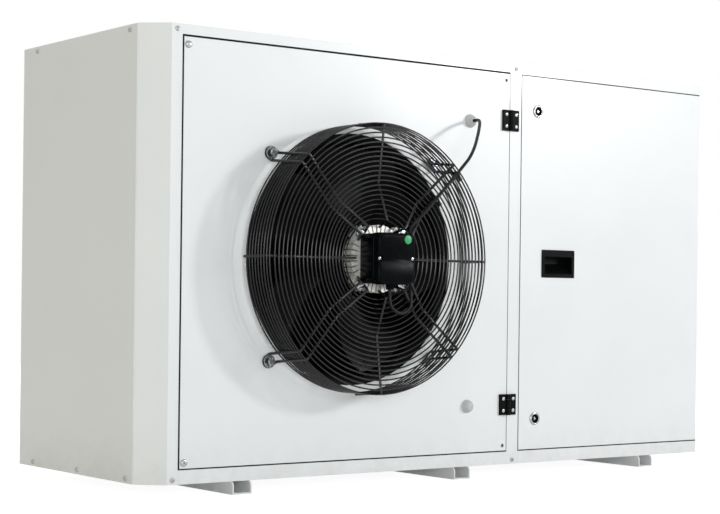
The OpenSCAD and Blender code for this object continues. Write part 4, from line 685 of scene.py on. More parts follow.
def ring_tree():
    """Rings round the fan's axis: each is smaller and further back than the last by a fixed step."""
    sizes = [("Count", "NodeSocketInt", 9), ("Radius", "NodeSocketFloat", 0.26),
             ("Radius Step", "NodeSocketFloat", 0.0), ("Depth", "NodeSocketFloat", 0.0),
             ("Depth Step", "NodeSocketFloat", 0.01), ("Kink Radius", "NodeSocketFloat", 0.0),
             ("Kink Slope", "NodeSocketFloat", 0.0), ("Wire", "NodeSocketFloat", 0.003),
             ("Segments", "NodeSocketInt", 128), ("Sides", "NodeSocketInt", 10),
             ("Centre", "NodeSocketVector", (0, 0, 0)), ("Finish", "NodeSocketMaterial", None)]
    nodes, inputs, output = new_tree("guard_rings", sizes)
    size = {name: Field(nodes, inputs[name]) for name, kind, value in sizes}
    index = nodes.field("GeometryNodeInputIndex")
    radius = size["Radius"] - index * size["Radius Step"]
    inside = nodes.field("ShaderNodeMath", {"operation": "MAXIMUM"}, {
        0: size["Kink Radius"] - radius, 1: 0.0})
    depth = size["Depth"] + index * size["Depth Step"] + inside * size["Kink Slope"]
    place = nodes.add("ShaderNodeCombineXYZ", {}, {"Y": depth}).outputs[0]
    points = nodes.add("GeometryNodePoints", {}, {"Count": inputs["Count"], "Position": place}).outputs[0]
    circle = nodes.add("GeometryNodeCurvePrimitiveCircle", {}, {
        "Resolution": inputs["Segments"], "Radius": 1.0})
    upright = nodes.add("GeometryNodeTransform", {}, {
        "Geometry": circle.outputs["Curve"], "Rotation": (math.radians(90), 0, 0)}).outputs[0]
    scale = nodes.add("ShaderNodeCombineXYZ", {}, {"X": radius, "Y": radius, "Z": radius}).outputs[0]
    rings = nodes.add("GeometryNodeInstanceOnPoints", {}, {
        "Points": points, "Instance": upright, "Scale": scale}).outputs[0]
    rings = nodes.add("GeometryNodeRealizeInstances", {}, {0: rings}).outputs[0]
    tubes = wire(nodes, rings, size["Wire"], inputs["Sides"])
    moved = nodes.add("GeometryNodeTransform", {}, {"Geometry": tubes, "Translation": inputs["Centre"]})
    finish_tree(nodes, inputs, output, moved.outputs[0])
    return nodes.tree


def path_tree():
    """Wire along the edges of the source, repeated round the fan's axis."""
    sizes = [("Copies", "NodeSocketInt", 4), ("First Angle", "NodeSocketFloat", 0.0),
             ("Wire", "NodeSocketFloat", 0.005), ("Sides", "NodeSocketInt", 12),
             ("Centre", "NodeSocketVector", (0, 0, 0)), ("Finish", "NodeSocketMaterial", None)]
    nodes, inputs, output = new_tree("bent_wire", sizes)
    copies = Field(nodes, inputs["Copies"])
    angle = nodes.field("GeometryNodeInputIndex") / copies * (2 * math.pi)
    angle = angle + Field(nodes, inputs["First Angle"])
    turn = nodes.add("ShaderNodeCombineXYZ", {}, {"Y": angle}).outputs[0]
    points = nodes.add("GeometryNodePoints", {}, {"Count": inputs["Copies"]}).outputs[0]
    path = nodes.add("GeometryNodeMeshToCurve", {}, {0: inputs["Geometry"]}).outputs[0]
    paths = nodes.add("GeometryNodeInstanceOnPoints", {}, {
        "Points": points, "Instance": path, "Rotation": turn}).outputs[0]
    paths = nodes.add("GeometryNodeRealizeInstances", {}, {0: paths}).outputs[0]
    tubes = wire(nodes, paths, Field(nodes, inputs["Wire"]), inputs["Sides"])
    moved = nodes.add("GeometryNodeTransform", {}, {"Geometry": tubes, "Translation": inputs["Centre"]})
    finish_tree(nodes, inputs, output, moved.outputs[0])
    return nodes.tree


GUARD_RINGS = ring_tree()
BENT_WIRE = path_tree()

# %% Guard rings
GUARD_R = 262.5
FACE_Y = -100
FACE_PITCH = 9.2
FACE_RINGS = 20
KINK_R = 145
HUB_R = 78
HUB_RECESS = 17
RIM_RINGS, RIM_Y, RIM_PITCH = 9, -19, 9.7
RING_WIRE = 3.0
RING_SEGMENTS, WIRE_SIDES = 144, 10
settle(grown("face_rings", GUARD_RINGS, {
    "Count": FACE_RINGS, "Radius": (GUARD_R - FACE_PITCH) * MM, "Radius Step": FACE_PITCH * MM,
    "Depth": FACE_Y * MM, "Depth Step": 0.0, "Kink Radius": KINK_R * MM,
    "Kink Slope": HUB_RECESS / (KINK_R - HUB_R), "Wire": RING_WIRE * MM, "Segments": RING_SEGMENTS,
    "Sides": WIRE_SIDES, "Centre": FAN, "Finish": guard_coat}), guard_coat, "fan_panel", ["guard_face_rings"])
settle(grown("rim_rings", GUARD_RINGS, {
    "Count": RIM_RINGS, "Radius": GUARD_R * MM, "Radius Step": 0.0, "Depth": RIM_Y * MM,
    "Depth Step": -RIM_PITCH * MM, "Wire": RING_WIRE * MM, "Segments": RING_SEGMENTS, "Sides": WIRE_SIDES,
    "Centre": FAN, "Finish": guard_coat}), guard_coat, "fan_panel", ["guard_rim_rings"])


# %% [markdown]
# An arm is one long wire: out from the motor, over the rings, down to the panel, round its bolt and back.
# The path is drawn as straight lines with a radius at each bend, as a bending machine would take it.


# %% Guard arms and spokes
def bent(points, radii, steps=6):
    """A path of straight lines whose corners are rounded to their radii."""
    path = [points[0]]
    for before, corner, after, radius in zip(points, points[1:], points[2:], radii):
        u, v = (before - corner).normalized(), (after - corner).normalized()
        half = u.angle(v) / 2
        centre = corner + (u + v).normalized() * radius / math.sin(half)
        start, end = (corner + w * radius / math.tan(half) - centre for w in (u, v))
        path += [centre + start.slerp(end, i / steps) for i in range(steps + 1)]
    return path + [points[-1]]


def path_mesh(name, points):
    mesh = bpy.data.meshes.new(name)
    mesh.from_pydata([tuple(p) for p in points], [(i, i + 1) for i in range(len(points) - 1)], [])
    return mesh


ARM_WIRE, SPOKE_WIRE = 5.6, 5.0
ARM_HALF = 11
BOLT_R = 281.5
ARM_START = 62
ARM_Y, ARM_RIM_R = -104.0, 266.5
SPOKE_Y, SPOKE_RIM_R, SPOKE_END_Y = -103.7, 266.2, -16.5


def arm_path():
    """One arm along +X, in millimetres from the fan's axis."""
    corners = [(ARM_START, ARM_Y + HUB_RECESS), (HUB_R, ARM_Y + HUB_RECESS), (KINK_R, ARM_Y),
               (ARM_RIM_R, ARM_Y), (ARM_RIM_R, -ARM_WIRE / 2), (BOLT_R, -ARM_WIRE / 2)]
    side = bent([Vector((r, y, ARM_HALF)) for r, y in corners], [24, 24, 7, 6])
    turn = [math.radians(a) for a in range(75, -76, -15)]
    eye = [Vector((BOLT_R + ARM_HALF * math.cos(a), -ARM_WIRE / 2, ARM_HALF * math.sin(a))) for a in turn]
    back = [Vector((p.x, p.y, -p.z)) for p in reversed(side)]
    return [p * MM for p in side + eye + back]


def spoke_path():
    """One spoke along +X, from the hub to the last ring of the rim."""
    corners = [(ARM_START, SPOKE_Y + HUB_RECESS), (HUB_R, SPOKE_Y + HUB_RECESS), (KINK_R, SPOKE_Y),
               (SPOKE_RIM_R, SPOKE_Y), (SPOKE_RIM_R, SPOKE_END_Y)]
    return [p * MM for p in bent([Vector((r, y, 0)) for r, y in corners], [24, 24, 7])]


arms = grown("arms", BENT_WIRE, {
    "Copies": 4, "First Angle": math.radians(45), "Wire": ARM_WIRE * MM, "Sides": 14, "Centre": FAN,
    "Finish": guard_coat}, path_mesh("arm_path", arm_path()))
spokes = grown("spokes", BENT_WIRE, {
    "Copies": 4, "First Angle": 0.0, "Wire": SPOKE_WIRE * MM, "Sides": 14, "Centre": FAN,
    "Finish": guard_coat}, path_mesh("spoke_path", spoke_path()))
settle(arms, guard_coat, "fan_panel", ["guard_arms"])
settle(spokes, guard_coat, "fan_panel", ["guard_arms"])

# %% [markdown]
# ## Screws
# Every screw is one turned head with a real drive in it. A tree puts the same head on each place and
# turns it by a random angle about its own axis, because nobody stops a screw at the same angle twice.
# Most places come from the CAD nodes: each screw there is a separate solid, and its length gives its axis.
# The screws of the guard, the motor and its box have places round the fan's axis.


# %% A tree that puts a screw on each spot
def screw_tree():
    """Puts the source's head on each spot, turned to the spot's direction."""
    sizes = [("Spots", "NodeSocketObject", None), ("Seed", "NodeSocketInt", 7),
             ("Finish", "NodeSocketMaterial", None)]
    nodes, inputs, output = new_tree("screws_on_spots", sizes)
    spots = nodes.add("GeometryNodeObjectInfo", {"transform_space": "ORIGINAL"}, {"Object": inputs["Spots"]})
    facing = nodes.add("GeometryNodeInputNamedAttribute", {"data_type": "FLOAT_VECTOR"}, {"Name": "facing"})
    aligned = nodes.add("FunctionNodeAlignRotationToVector", {"axis": "Z"}, {"Vector": facing.outputs[0]})
    spin = nodes.add("FunctionNodeRandomValue", {"data_type": "FLOAT"}, {3: math.pi, "Seed": inputs["Seed"]})
    local = nodes.add("ShaderNodeCombineXYZ", {}, {"Z": spin.outputs[1]})
    turned_by = nodes.add("FunctionNodeRotateRotation", {"rotation_space": "LOCAL"}, {
        "Rotation": aligned.outputs[0], "Rotate By": local.outputs[0]})
    screws = nodes.add("GeometryNodeInstanceOnPoints", {}, {
        "Points": spots.outputs["Geometry"], "Instance": inputs["Geometry"],
        "Rotation": turned_by.outputs[0]})
    finish_tree(nodes, inputs, output, screws.outputs[0])
    return nodes.tree


SCREWS_ON_SPOTS = screw_tree()


def islands(node):
    """The box of each separate solid of a CAD node."""
    shape = bmesh.new()
    shape.from_mesh(cad_nodes[node].data)
    bmesh.ops.remove_doubles(shape, verts=shape.verts, dist=2e-6)
    left = set(shape.verts)
    boxes = []
    while left:
        queue, found = [left.pop()], []
        while queue:
            vertex = queue.pop()
            found.append(vertex.co.copy())
            for edge in vertex.link_edges:
                other = edge.other_vert(vertex)
                if other in left:
                    left.discard(other)
                    queue.append(other)
        boxes.append((Vector(map(min, *found)), Vector(map(max, *found))))
    shape.free()
    return boxes


def screws(name, head, spots, finish, body, replaced, seed=7):
    """One head on each spot: (place, direction that the head points to)."""
    mesh = bpy.data.meshes.new(f"{name}_spots")
    mesh.from_pydata([tuple(place) for place, facing in spots], [], [])
    attribute = mesh.attributes.new("facing", "FLOAT_VECTOR", "POINT")
    attribute.data.foreach_set("vector", [v for place, facing in spots for v in facing])
    marks = new_object(f"{name}_spots", mesh)
    piece = grown(name, SCREWS_ON_SPOTS, {"Spots": marks, "Seed": seed, "Finish": finish}, head)
    bpy.data.objects.remove(marks)
    return settle(piece, finish, body, replaced)


def head_mesh(name, radius, height, shank_r, shank_l, drive, sink, washer=None, segments=32):
    """A domed head with a drive in it, on a shank. It points along +Z and sits on z = 0."""
    rise = [(1.0, 0.42), (0.96, 0.62), (0.86, 0.82), (0.70, 0.95)]
    profile = [(shank_r * 0.7, -shank_l), (shank_r, -shank_l + shank_r * 0.3), (shank_r, 0)]
    if washer:
        profile += [(washer[0], 0), (washer[0] * 1.01, washer[1] * 0.5), (washer[0] * 0.97, washer[1])]
    base = washer[1] if washer else 0
    profile += [(radius * 0.98, base)]
    profile += [(radius * r, base + (height - base) * h) for r, h in rise]
    profile += [(drive, height * 0.98), (drive, height - sink)]
    profile += [(lambda angle: drive(angle) * 0.45, height - sink * 1.25)]
    return turned(name, in_mm(profile), segments)


# %% Housing and panel screws
def outer_spots(node, head_t):
    """Where the heads of a node's screws sit, each on the outside of the housing."""
    spots = []
    for low, high in islands(node):
        middle, span = (low + high) / 2, high - low
        axis = max(range(3), key=lambda i: span[i])
        sign = 1 if middle[axis] > (cad_low[axis] + cad_high[axis]) / 2 else -1
        facing = Vector((0, 0, 0))
        facing[axis] = sign
        place = middle.copy()
        place[axis] = (high if sign > 0 else low)[axis] - sign * head_t * MM
        spots.append((place, facing))
    return spots


housing_head = head_mesh("housing_head", 5.0, 2.4, 2.0, 8, cross(2.2, 0.75), 1.4)
screws("housing_screw_heads", housing_head, outer_spots("housing_screws", 2.4), motor_steel, "housing",
       ["housing_screws"])
panel_head = head_mesh("panel_head", 7.0, 4.0, 3.0, 16, hexagon(2.2), 2.4)
screws("panel_screw_heads", panel_head, outer_spots("fan_panel_screws", 4.0), bright_zinc, "fan_panel",
       ["fan_panel_screws"], 3)
hinge_head = head_mesh("hinge_head", 4.0, 2.0, 2.0, 9.5, hexagon(1.3), 1.2, segments=24)
screws("hinge_panel_heads", hinge_head.copy(), outer_spots("hinge_panel_screws", 2.0), bright_zinc,
       "fan_panel", ["hinge_panel_screws"], 5)
screws("hinge_post_heads", hinge_head, outer_spots("hinge_post_screws", 2.0), bright_zinc, "housing",
       ["hinge_post_screws"], 6)

# %% [markdown]
# The guard hangs on four M10 bolts. Each clamps the eye of an arm between a broad washer and the panel,
# and a nut holds it from behind. The motor's four lugs are held by bright domed screws, and two short
# screws close the terminal box.


# %% Guard bolts and motor screws
def bolt_mesh(name):
    """A hexagon bolt with its washer in front and its nut behind the panel."""
    spread = 8.5
    flat = spread * math.cos(math.radians(30))
    head = [(5.0, 1.0), (5.0, 1.9), (hexagon(flat), 2.0), (hexagon(flat), 7.2),
            (hexagon(flat, spread * 0.93), 8.1), (flat * 0.90, 8.4), (flat * 0.45, 8.1)]
    washer = [(5.3, 0), (12.2, 0), (12.5, 0.4), (12.5, 1.6), (12.2, 2.0), (5.3, 2.0)]
    shank = [(4.0, -20.5), (5.0, -19.5), (5.0, 1.5)]
    nut = [(5.02, -13.4), (flat * 0.95, -13.4), (hexagon(flat), -12.8), (hexagon(flat), -7.8),
           (flat * 0.95, -7.2), (5.02, -7.2)]
    return joined(name, [turned("head", in_mm(head), 36), turned("washer", in_mm(washer), 36, True),
                         turned("shank", in_mm(shank), 24), turned("nut", in_mm(nut), 36, True)])


FRONT = Vector((0, -1, 0))
MOTOR_SCREW_R, MOTOR_SCREW_Y = 72, -89.8


def round_the_fan(radius, y, first=45, count=4):
    """Spots round the fan's axis."""
    angles = [math.radians(first + 360 * i / count) for i in range(count)]
    return [(at(radius * math.cos(a), y, -radius * math.sin(a)), FRONT) for a in angles]


screws("guard_bolt_heads", bolt_mesh("guard_bolt"), round_the_fan(BOLT_R, -ARM_WIRE), bright_zinc,
       "fan_panel", ["guard_bolts"], 9)
motor_head = head_mesh("motor_head", 10.0, 6.0, 2.0, 19, hexagon(3.0), 3.0, (10.4, 1.4))
screws("motor_screw_heads", motor_head, round_the_fan(MOTOR_SCREW_R, MOTOR_SCREW_Y), bright_zinc,
       "fan_panel", ["motor_screws"], 2)

# %% [markdown]
# ## Terminal box
# The box on the motor is moulded in two halves that meet in a lip. A moulding has no sharp edge, so each
# half is lofted through rounded outlines that shrink and curl over at the front. Two round pockets are
# cut into the cover's front for its screws, and a plain green dot marks one corner.

# %% Terminal box and cover
BOX_W, BOX_H, BOX_CORNER = 90.0, 97.0, 12.0
BOX_BACK_Y, SEAM_Y, COVER_Y = -84.2, -120.2, -144.2


def moulding(name, sections):
    """A lofted box: (half width, half height, corner radius, y), in millimetres from the fan's axis."""
    rings = [[at(x, y, z) for x, z in rounded_outline(half_x, half_z, radius)]
             for half_x, half_z, radius, y in sections]
    return skinned(name, rings)


def drilled(piece, holes):
    """Cuts cylinders out of a piece: (place, radius, depth), from the front."""
    for place, radius, depth in holes:
        bit = turned("bit", [(radius * MM, -depth * MM), (radius * MM, 0.02)], 28)
        cutter = new_object("cutter", facing_front(bit, place))
        cut = piece.modifiers.new("hole", "BOOLEAN")
        cut.operation = "DIFFERENCE"
        cut.solver = "EXACT"
        cut.object = cutter
        baked(piece)
        bpy.data.objects.remove(cutter)
    return piece


w, h = BOX_W / 2, BOX_H / 2
box = new_object("box_body", moulding("box_body", [
    (w - 1.5, h - 1.5, BOX_CORNER - 1, BOX_BACK_Y), (w - 0.4, h - 0.4, BOX_CORNER, BOX_BACK_Y - 1.2),
    (w, h, BOX_CORNER, BOX_BACK_Y - 3), (w, h, BOX_CORNER, SEAM_Y + 1),
    (w - 0.8, h - 0.8, BOX_CORNER, SEAM_Y)]))
settle(box, box_plastic, "fan_panel", ["terminal_box"])
cover = new_object("box_cover", moulding("box_cover", [
    (w + 0.7, h + 0.7, BOX_CORNER, SEAM_Y), (w + 1.5, h + 1.5, BOX_CORNER + 1, SEAM_Y - 0.8),
    (w + 1.5, h + 1.5, BOX_CORNER + 1, SEAM_Y - 7), (w + 0.9, h + 0.9, BOX_CORNER + 1, SEAM_Y - 8),
    (w, h, BOX_CORNER, SEAM_Y - 8.2), (w - 0.3, h - 0.3, BOX_CORNER, COVER_Y + 5),
    (w - 1.2, h - 1.2, BOX_CORNER, COVER_Y + 2.2), (w - 3.0, h - 3.0, BOX_CORNER - 1.5, COVER_Y + 0.7),
    (w - 5.5, h - 5.5, BOX_CORNER - 3, COVER_Y + 0.3)]))
POCKET_X, COVER_SCREW_X = 40.0, 39.5
DOT_X, DOT_Z = 26, 37
drilled(cover, [(at(side * POCKET_X, COVER_Y, 0), 6.2, 5.0) for side in (-1, 1)])
round_edges(cover, 0.35)
settle(baked(cover), box_plastic, "fan_panel", ["terminal_cover"])
cover_head = head_mesh("cover_head", 3.6, 2.4, 1.8, 8, cross(1.9, 0.7), 1.2, segments=24)
cover_spots = [(at(side * COVER_SCREW_X, COVER_Y + 5, 0), FRONT) for side in (-1, 1)]
screws("cover_screw_heads", cover_head, cover_spots, bright_zinc, "fan_panel", ["motor_screws"], 4)
dot = turned("green_dot", in_mm([(8.0, 0), (8.5, 0.1), (8.5, 0.35), (8.1, 0.5)]), 40)
dot = new_object("green_dot", facing_front(dot, at(DOT_X, COVER_Y + 0.6, DOT_Z)))
settle(dot, green_paint, "fan_panel")

# %% [markdown]
# ## Impeller
# Each blade is a sickle: it sweeps forward towards the tip, twists flatter on the way out and is slightly
# hollow. The rule that the CAD model uses for its blade gives the middle surface, and a real blade is
# thick at the root and thin at its edges. One blade is made, and a tree repeats it round the rotor.

# %% Impeller blades
BLADES = 5
ROTOR_R, ROTOR_BACK_Y = 62.0, 59.1
TIP_R = 225.0
SWEEP, ROOT_HALF, TIP_HALF = 24, 33, 27
RISE_SHARE, CAMBER_SHARE, BEHIND = 0.4, 0.05, 21


def blade_point(u, v, side):
    """u runs from root to tip and v along the chord; side is -1 or 1 of the blade's thickness."""
    r = (ROTOR_R - 0.3) + (TIP_R - ROTOR_R + 0.3) * u
    half = ROOT_HALF + (TIP_HALF - ROOT_HALF) * u
    angle = math.radians(SWEEP * (u * u - u / 3) + (v - 0.5) * 2 * half)
    rise = RISE_SHARE * (2 * math.pi * r * half / 180 + 3 * ROTOR_R) / 2.5
    camber = CAMBER_SHARE * TIP_R * math.sin(math.pi * v)
    edge = min(v, 1 - v, 0.12) / 0.12
    thick = (2.9 - 1.5 * u) * (0.25 + 0.75 * math.sqrt(edge * (2 - edge)))
    y = ROTOR_BACK_Y - BEHIND + (v - 0.5) * rise - camber + side * thick / 2
    return Vector((r * math.cos(angle), y, r * math.sin(angle))) * MM


def blade_mesh(rows=22, columns=26):
    """One blade as rings round its section, from root to tip."""
    forth = [i / columns for i in range(columns + 1)]
    rings = []
    for i in range(rows + 1):
        u = i / rows
        rings.append([blade_point(u, v, -1) for v in forth] + [blade_point(u, v, 1) for v in reversed(forth)])
    return skinned("blade", rings)


def copies_tree():
    """Repeats a mesh round the fan's axis."""
    sizes = [("Copies", "NodeSocketInt", BLADES), ("Centre", "NodeSocketVector", (0, 0, 0)),
             ("Finish", "NodeSocketMaterial", None)]
    nodes, inputs, output = new_tree("round_the_axis", sizes)
    angle = nodes.field("GeometryNodeInputIndex") / Field(nodes, inputs["Copies"]) * (2 * math.pi)
    turn = nodes.add("ShaderNodeCombineXYZ", {}, {"Y": angle}).outputs[0]
    points = nodes.add("GeometryNodePoints", {}, {"Count": inputs["Copies"], "Position": inputs["Centre"]})
    copies = nodes.add("GeometryNodeInstanceOnPoints", {}, {
        "Points": points.outputs[0], "Instance": inputs["Geometry"], "Rotation": turn})
    finish_tree(nodes, inputs, output, copies.outputs[0])
    return nodes.tree


settle(grown("blades", copies_tree(), {"Copies": BLADES, "Centre": FAN, "Finish": blade_coat}, blade_mesh()),
       blade_coat, "impeller", ["impeller_blades"])

# %% [markdown]
# The rotor is a deep drawn cup. A profile turned round its axis gives the soft shoulder and the shallow
# dish at the back.

# %% Rotor
ROTOR_FRONT_Y = -52.9
rotor_profile = [
    (8, 0.2), (8, 100), (57, 105), (57.8, 100), (57.8, 0.6), (58.2, 0.3), (61.2, 0.3), (61.8, 1.0),
    (62, 3), (62, 96), (61.8, 103), (60.2, 108), (57, 110.6), (52, 111.6), (44, 111.7), (42, 110.8),
    (24, 110.8), (22, 111.7), (9, 111.7), (8, 110)]
ON_ROTOR = Matrix.Translation(at(0, ROTOR_FRONT_Y, 0)) @ TO_FRONT.inverted()
rotor = new_object("rotor_cup", placed(turned("rotor_cup", in_mm(rotor_profile), 96, True), ON_ROTOR))
settle(rotor, rotor_coat, "impeller", ["rotor"])
shaft = turned("shaft", in_mm([(7, -16), (8, -15), (8, 108), (7, 109)]), 32)
shaft = new_object("shaft", placed(shaft, ON_ROTOR))
settle(shaft, motor_steel, "impeller")

# %% [markdown]
# ## Fan lead
# The lead leaves the terminal box downwards, turns up beside it, is tied twice to an arm of the guard and
# goes through a gland in the panel. It is sheathed cable of medium stiffness, so its route has soft bends
# only. A smooth curve through the CAD route's points gives its path.

# %% Fan lead
LEAD_D = 6.5
LEAD_ROUTE = [
    (15, -102.2, -57), (15, -102.2, -68), (15, -102.4, -78), (17, -102.8, -88), (23, -103.2, -97),
    (32, -103.7, -103), (42, -104, -105), (52, -104, -103), (61, -103.5, -97), (67, -102.5, -88),
    (69, -101, -78), (70, -99, -64), (70, -97, -46), (70, -95.5, -28), (70, -95, -8), (70, -95, 20),
    (69, -96.5, 44), (68, -97.5, 58), (72, -99.5, 68), (80, -102, 77), (89, -105, 85.8), (98.6, -107, 95.2),
    (152.3, -107, 148.9), (204.6, -107, 201.2), (219, -103, 216.5), (235, -94, 234), (251, -82, 252.5),
    (267, -68.5, 270.5), (281.5, -54, 285), (293, -39, 292.5), (299, -27, 295.5), (301, -18, 295.5),
    (301, -9, 295.5)]


def smooth_path(points, steps=4):
    """A curve that passes through its points without a corner, whatever their distances."""
    path = []
    ends = [points[0] * 2 - points[1], *points, points[-1] * 2 - points[-2]]
    for before, start, end, after in zip(ends, ends[1:], ends[2:], ends[3:]):
        span = (end - start).length
        leave = (end - before).normalized() * span
        arrive = (after - start).normalized() * span
        for i in range(steps):
            t = i / steps
            path.append(start * (2 * t ** 3 - 3 * t * t + 1) + leave * (t ** 3 - 2 * t * t + t)
                        + end * (3 * t * t - 2 * t ** 3) + arrive * (t ** 3 - t * t))
    return path + [points[-1]]


lead_path = smooth_path([at(*p) for p in LEAD_ROUTE])
lead = grown("lead", BENT_WIRE, {"Copies": 1, "Wire": LEAD_D * MM, "Sides": 16, "Centre": (0, 0, 0),
                                 "Finish": lead_sheath}, path_mesh("lead_path", lead_path))
settle(lead, lead_sheath, "fan_panel", ["fan_lead"])
lead_length = sum((b - a).length for a, b in zip(lead_path, lead_path[1:]))
print("lead", round(lead_length, 3), "m")

# %% [markdown]
# ## Glands
# The panel has two light grey domes: one that grips the lead and one with a blank plug. They are turned
# with a soft crown on a round collar, and a thread through the panel.

# %% Panel glands
GLAND_X = 301
LEAD_GLAND_Z, BLANK_GLAND_Z = 295.5, -299.0
dome = [(14.0, 0), (14.0, 2.2), (13.6, 3.0), (13.0, 4.0), (12.4, 6.0), (11.2, 9.0), (9.4, 11.6), (7.6, 13.2)]
thread = [(3.4, -14.0), (7.6, -14.0), (8.0, -13.4), (8.0, 0)]
gripping = [(6.2, 13.9), (4.4, 14.0), (3.6, 13.4), (3.4, 12.0), (3.4, 8.0)]
blank = [(6.0, 13.8), (4.0, 14.0), (1.0, 14.0)]
glands = []
for z, crown in ((LEAD_GLAND_Z, gripping), (BLANK_GLAND_Z, blank)):
    gland = turned("gland", in_mm(thread + dome + crown), 48)
    glands.append(facing_front(gland, at(GLAND_X, 0, z)))
settle(new_object("gland_domes", joined("gland_domes", glands)), grey_plastic, "fan_panel", ["panel_glands"])

# %% [markdown]
# ## Locks
# A quarter-turn lock shows a bright raised ring with a dark well in it, and a three-sided stub at the
# bottom of the well that takes the key. The ring belongs to the door. The stub, its plug and the cam
# behind the door turn together.

# %% Locks
LOCK_X = 0.207
LOCKS = {"upper_lock": 0.779, "lower_lock": 0.119}
DOOR_Y = -0.256
ring_profile = [
    (6.1, -20.0), (10.0, -20.0), (10.0, -7.6), (hexagon(12.1, 13.6), -7.5), (hexagon(12.1, 13.6), -1.6),
    (10.0, -1.5), (10.0, 0), (14.0, 0), (14.0, 1.2), (13.4, 2.2), (12.0, 2.9), (10.6, 3.0), (9.4, 2.6),
    (8.6, 1.6), (8.2, 0.4), (8.0, -3.0), (6.1, -3.2)]
well_profile = [(6.1, -3.1), (7.9, -3.1), (8.1, 0.3), (8.5, 1.6), (9.2, 2.4), (9.2, 2.9), (8.0, 2.0),
                (7.4, 0.4), (6.1, -2.6)]


def on_lock(mesh, z):
    """Puts a turned mesh on the axis of the lock at that height."""
    return facing_front(mesh, Vector((LOCK_X, DOOR_Y, z)))


def on_both_locks(name, profile):
    """One turned piece on each lock, as one object."""
    turns = [on_lock(turned(f"{name}_one", in_mm(profile), 48, True), z) for z in LOCKS.values()]
    return new_object(name, joined(name, turns))


settle(on_both_locks("lock_rings", ring_profile), lock_chrome, "service_door", ["lock_bodies"])
settle(on_both_locks("lock_wells", well_profile), hinge_plastic, "service_door")


def triangle(flat):
    """The outline of a three-sided key stub with blunt corners."""
    third = math.radians(120)
    return lambda angle: min(flat / math.cos(angle % third - third / 2), flat * 1.7)


for body, z in LOCKS.items():
    stub = [(5.9, -4.0), (5.9, -2.4), (5.4, -2.0), (triangle(2.3), -2.0), (triangle(2.3), 0.9),
            (triangle(2.0), 1.2)]
    stub = on_lock(turned("key_stub", in_mm(stub), 36), z)
    rear = welded(f"{body}_plug")
    shape = bmesh.new()
    shape.from_mesh(rear)
    cut = shape.verts[:] + shape.edges[:] + shape.faces[:]
    cut = bmesh.ops.bisect_plane(shape, geom=cut, plane_co=(0, DOOR_Y + 3.5 * MM, 0), plane_no=(0, -1, 0),
                                 clear_outer=True)["geom_cut"]
    bmesh.ops.holes_fill(shape, edges=[e for e in cut if isinstance(e, bmesh.types.BMEdge)])
    shape.to_mesh(rear)
    shape.free()
    plug = new_object(f"{body}_key", joined(f"{body}_key", [stub, rear]))
    settle(plug, bright_zinc, body, [f"{body}_plug"])
    washer = [(2.9, -2.1), (5.95, -2.3), (5.95, -1.5), (5.6, -1.2), (2.9, -1.2)]
    washer = on_lock(turned("face", in_mm(washer), 36, True), z)
    settle(new_object(f"{body}_face", washer), hinge_plastic, body)

# %% [markdown]
# ## Condenser coil
# The coil fills the back of the fan bay. Real fins are about a tenth of a millimetre thick. These leaves
# are 0.35 mm thick, 2.1 mm apart and wavy. A tree repeats one leaf along the coil, and copper tubes run
# through the leaves in two columns.

# %% Coil fins and tubes
fins_low, fins_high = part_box("condenser_fins")
FIN_PITCH = 2.1 * MM
FIN_T = 0.35 * MM


def row_tree():
    """Repeats a mesh along +X."""
    sizes = [("Count", "NodeSocketInt", 10), ("Pitch", "NodeSocketFloat", 0.002),
             ("Start", "NodeSocketVector", (0, 0, 0)), ("Finish", "NodeSocketMaterial", None)]
    nodes, inputs, output = new_tree("fins_in_a_row", sizes)
    along = nodes.field("GeometryNodeInputIndex") * Field(nodes, inputs["Pitch"])
    place = nodes.add("ShaderNodeVectorMath", {"operation": "ADD"}, {
        0: inputs["Start"], 1: nodes.add("ShaderNodeCombineXYZ", {}, {"X": along}).outputs[0]})
    points = nodes.add("GeometryNodePoints", {}, {"Count": inputs["Count"], "Position": place.outputs[0]})
    row = nodes.add("GeometryNodeInstanceOnPoints", {}, {
        "Points": points.outputs[0], "Instance": inputs["Geometry"]})
    finish_tree(nodes, inputs, output, row.outputs[0])
    return nodes.tree


def leaf_mesh(depth, height, waves=4, steps=16):
    """One fin across the coil, bent in waves through its depth."""
    rings = []
    for i in range(steps + 1):
        y = depth * i / steps
        x = 0.45 * MM * math.sin(2 * math.pi * waves * i / steps + 0.6)
        edges = ((-1, 0), (1, 0), (1, height), (-1, height))
        rings.append([Vector((x + s * FIN_T / 2, y, z)) for s, z in edges])
    return skinned("leaf", rings)


span = fins_high - fins_low
fin_count = int((span.x - 2 * MM) / FIN_PITCH)
start = fins_low + Vector((1.5 * MM, 0, 0))
# The leaves take the near-black painted shade of the fan bay's inside.
leaves = grown("fin_leaves", row_tree(), {"Count": fin_count, "Pitch": FIN_PITCH, "Start": start,
                                          "Finish": fins_painted_shade}, leaf_mesh(span.y, span.z))
settle(leaves, fins_painted_shade, "housing", ["condenser_fins"])
TUBE_ROWS, TUBE_R = 30, 4.75 * MM
tube = placed(turned("tube", [(TUBE_R, 0), (TUBE_R, 1.0)], 20), Matrix.Diagonal((1, 1, span.x, 1)))
bars = []
for share in (0.25, 0.75):
    for row in range(TUBE_ROWS):
        middle = fins_low + Vector((0, span.y * share, span.z * (row + 0.5) / TUBE_ROWS))
        bars.append((middle, Vector((1, 0, 0))))
screws("coil_tube_runs", tube, bars, copper, "housing", ["condenser_fins"], 8)

# %% [markdown]
# ## Light and ground
# The studio is plain: a pale floor, a small key light on the right that throws the guard's shadow on the
# panel, a large frontal light, a warm light on the left for the side panel, and one above and behind. The
# floor and the sky look white to the camera and to reflections, but light the object at a plain level.


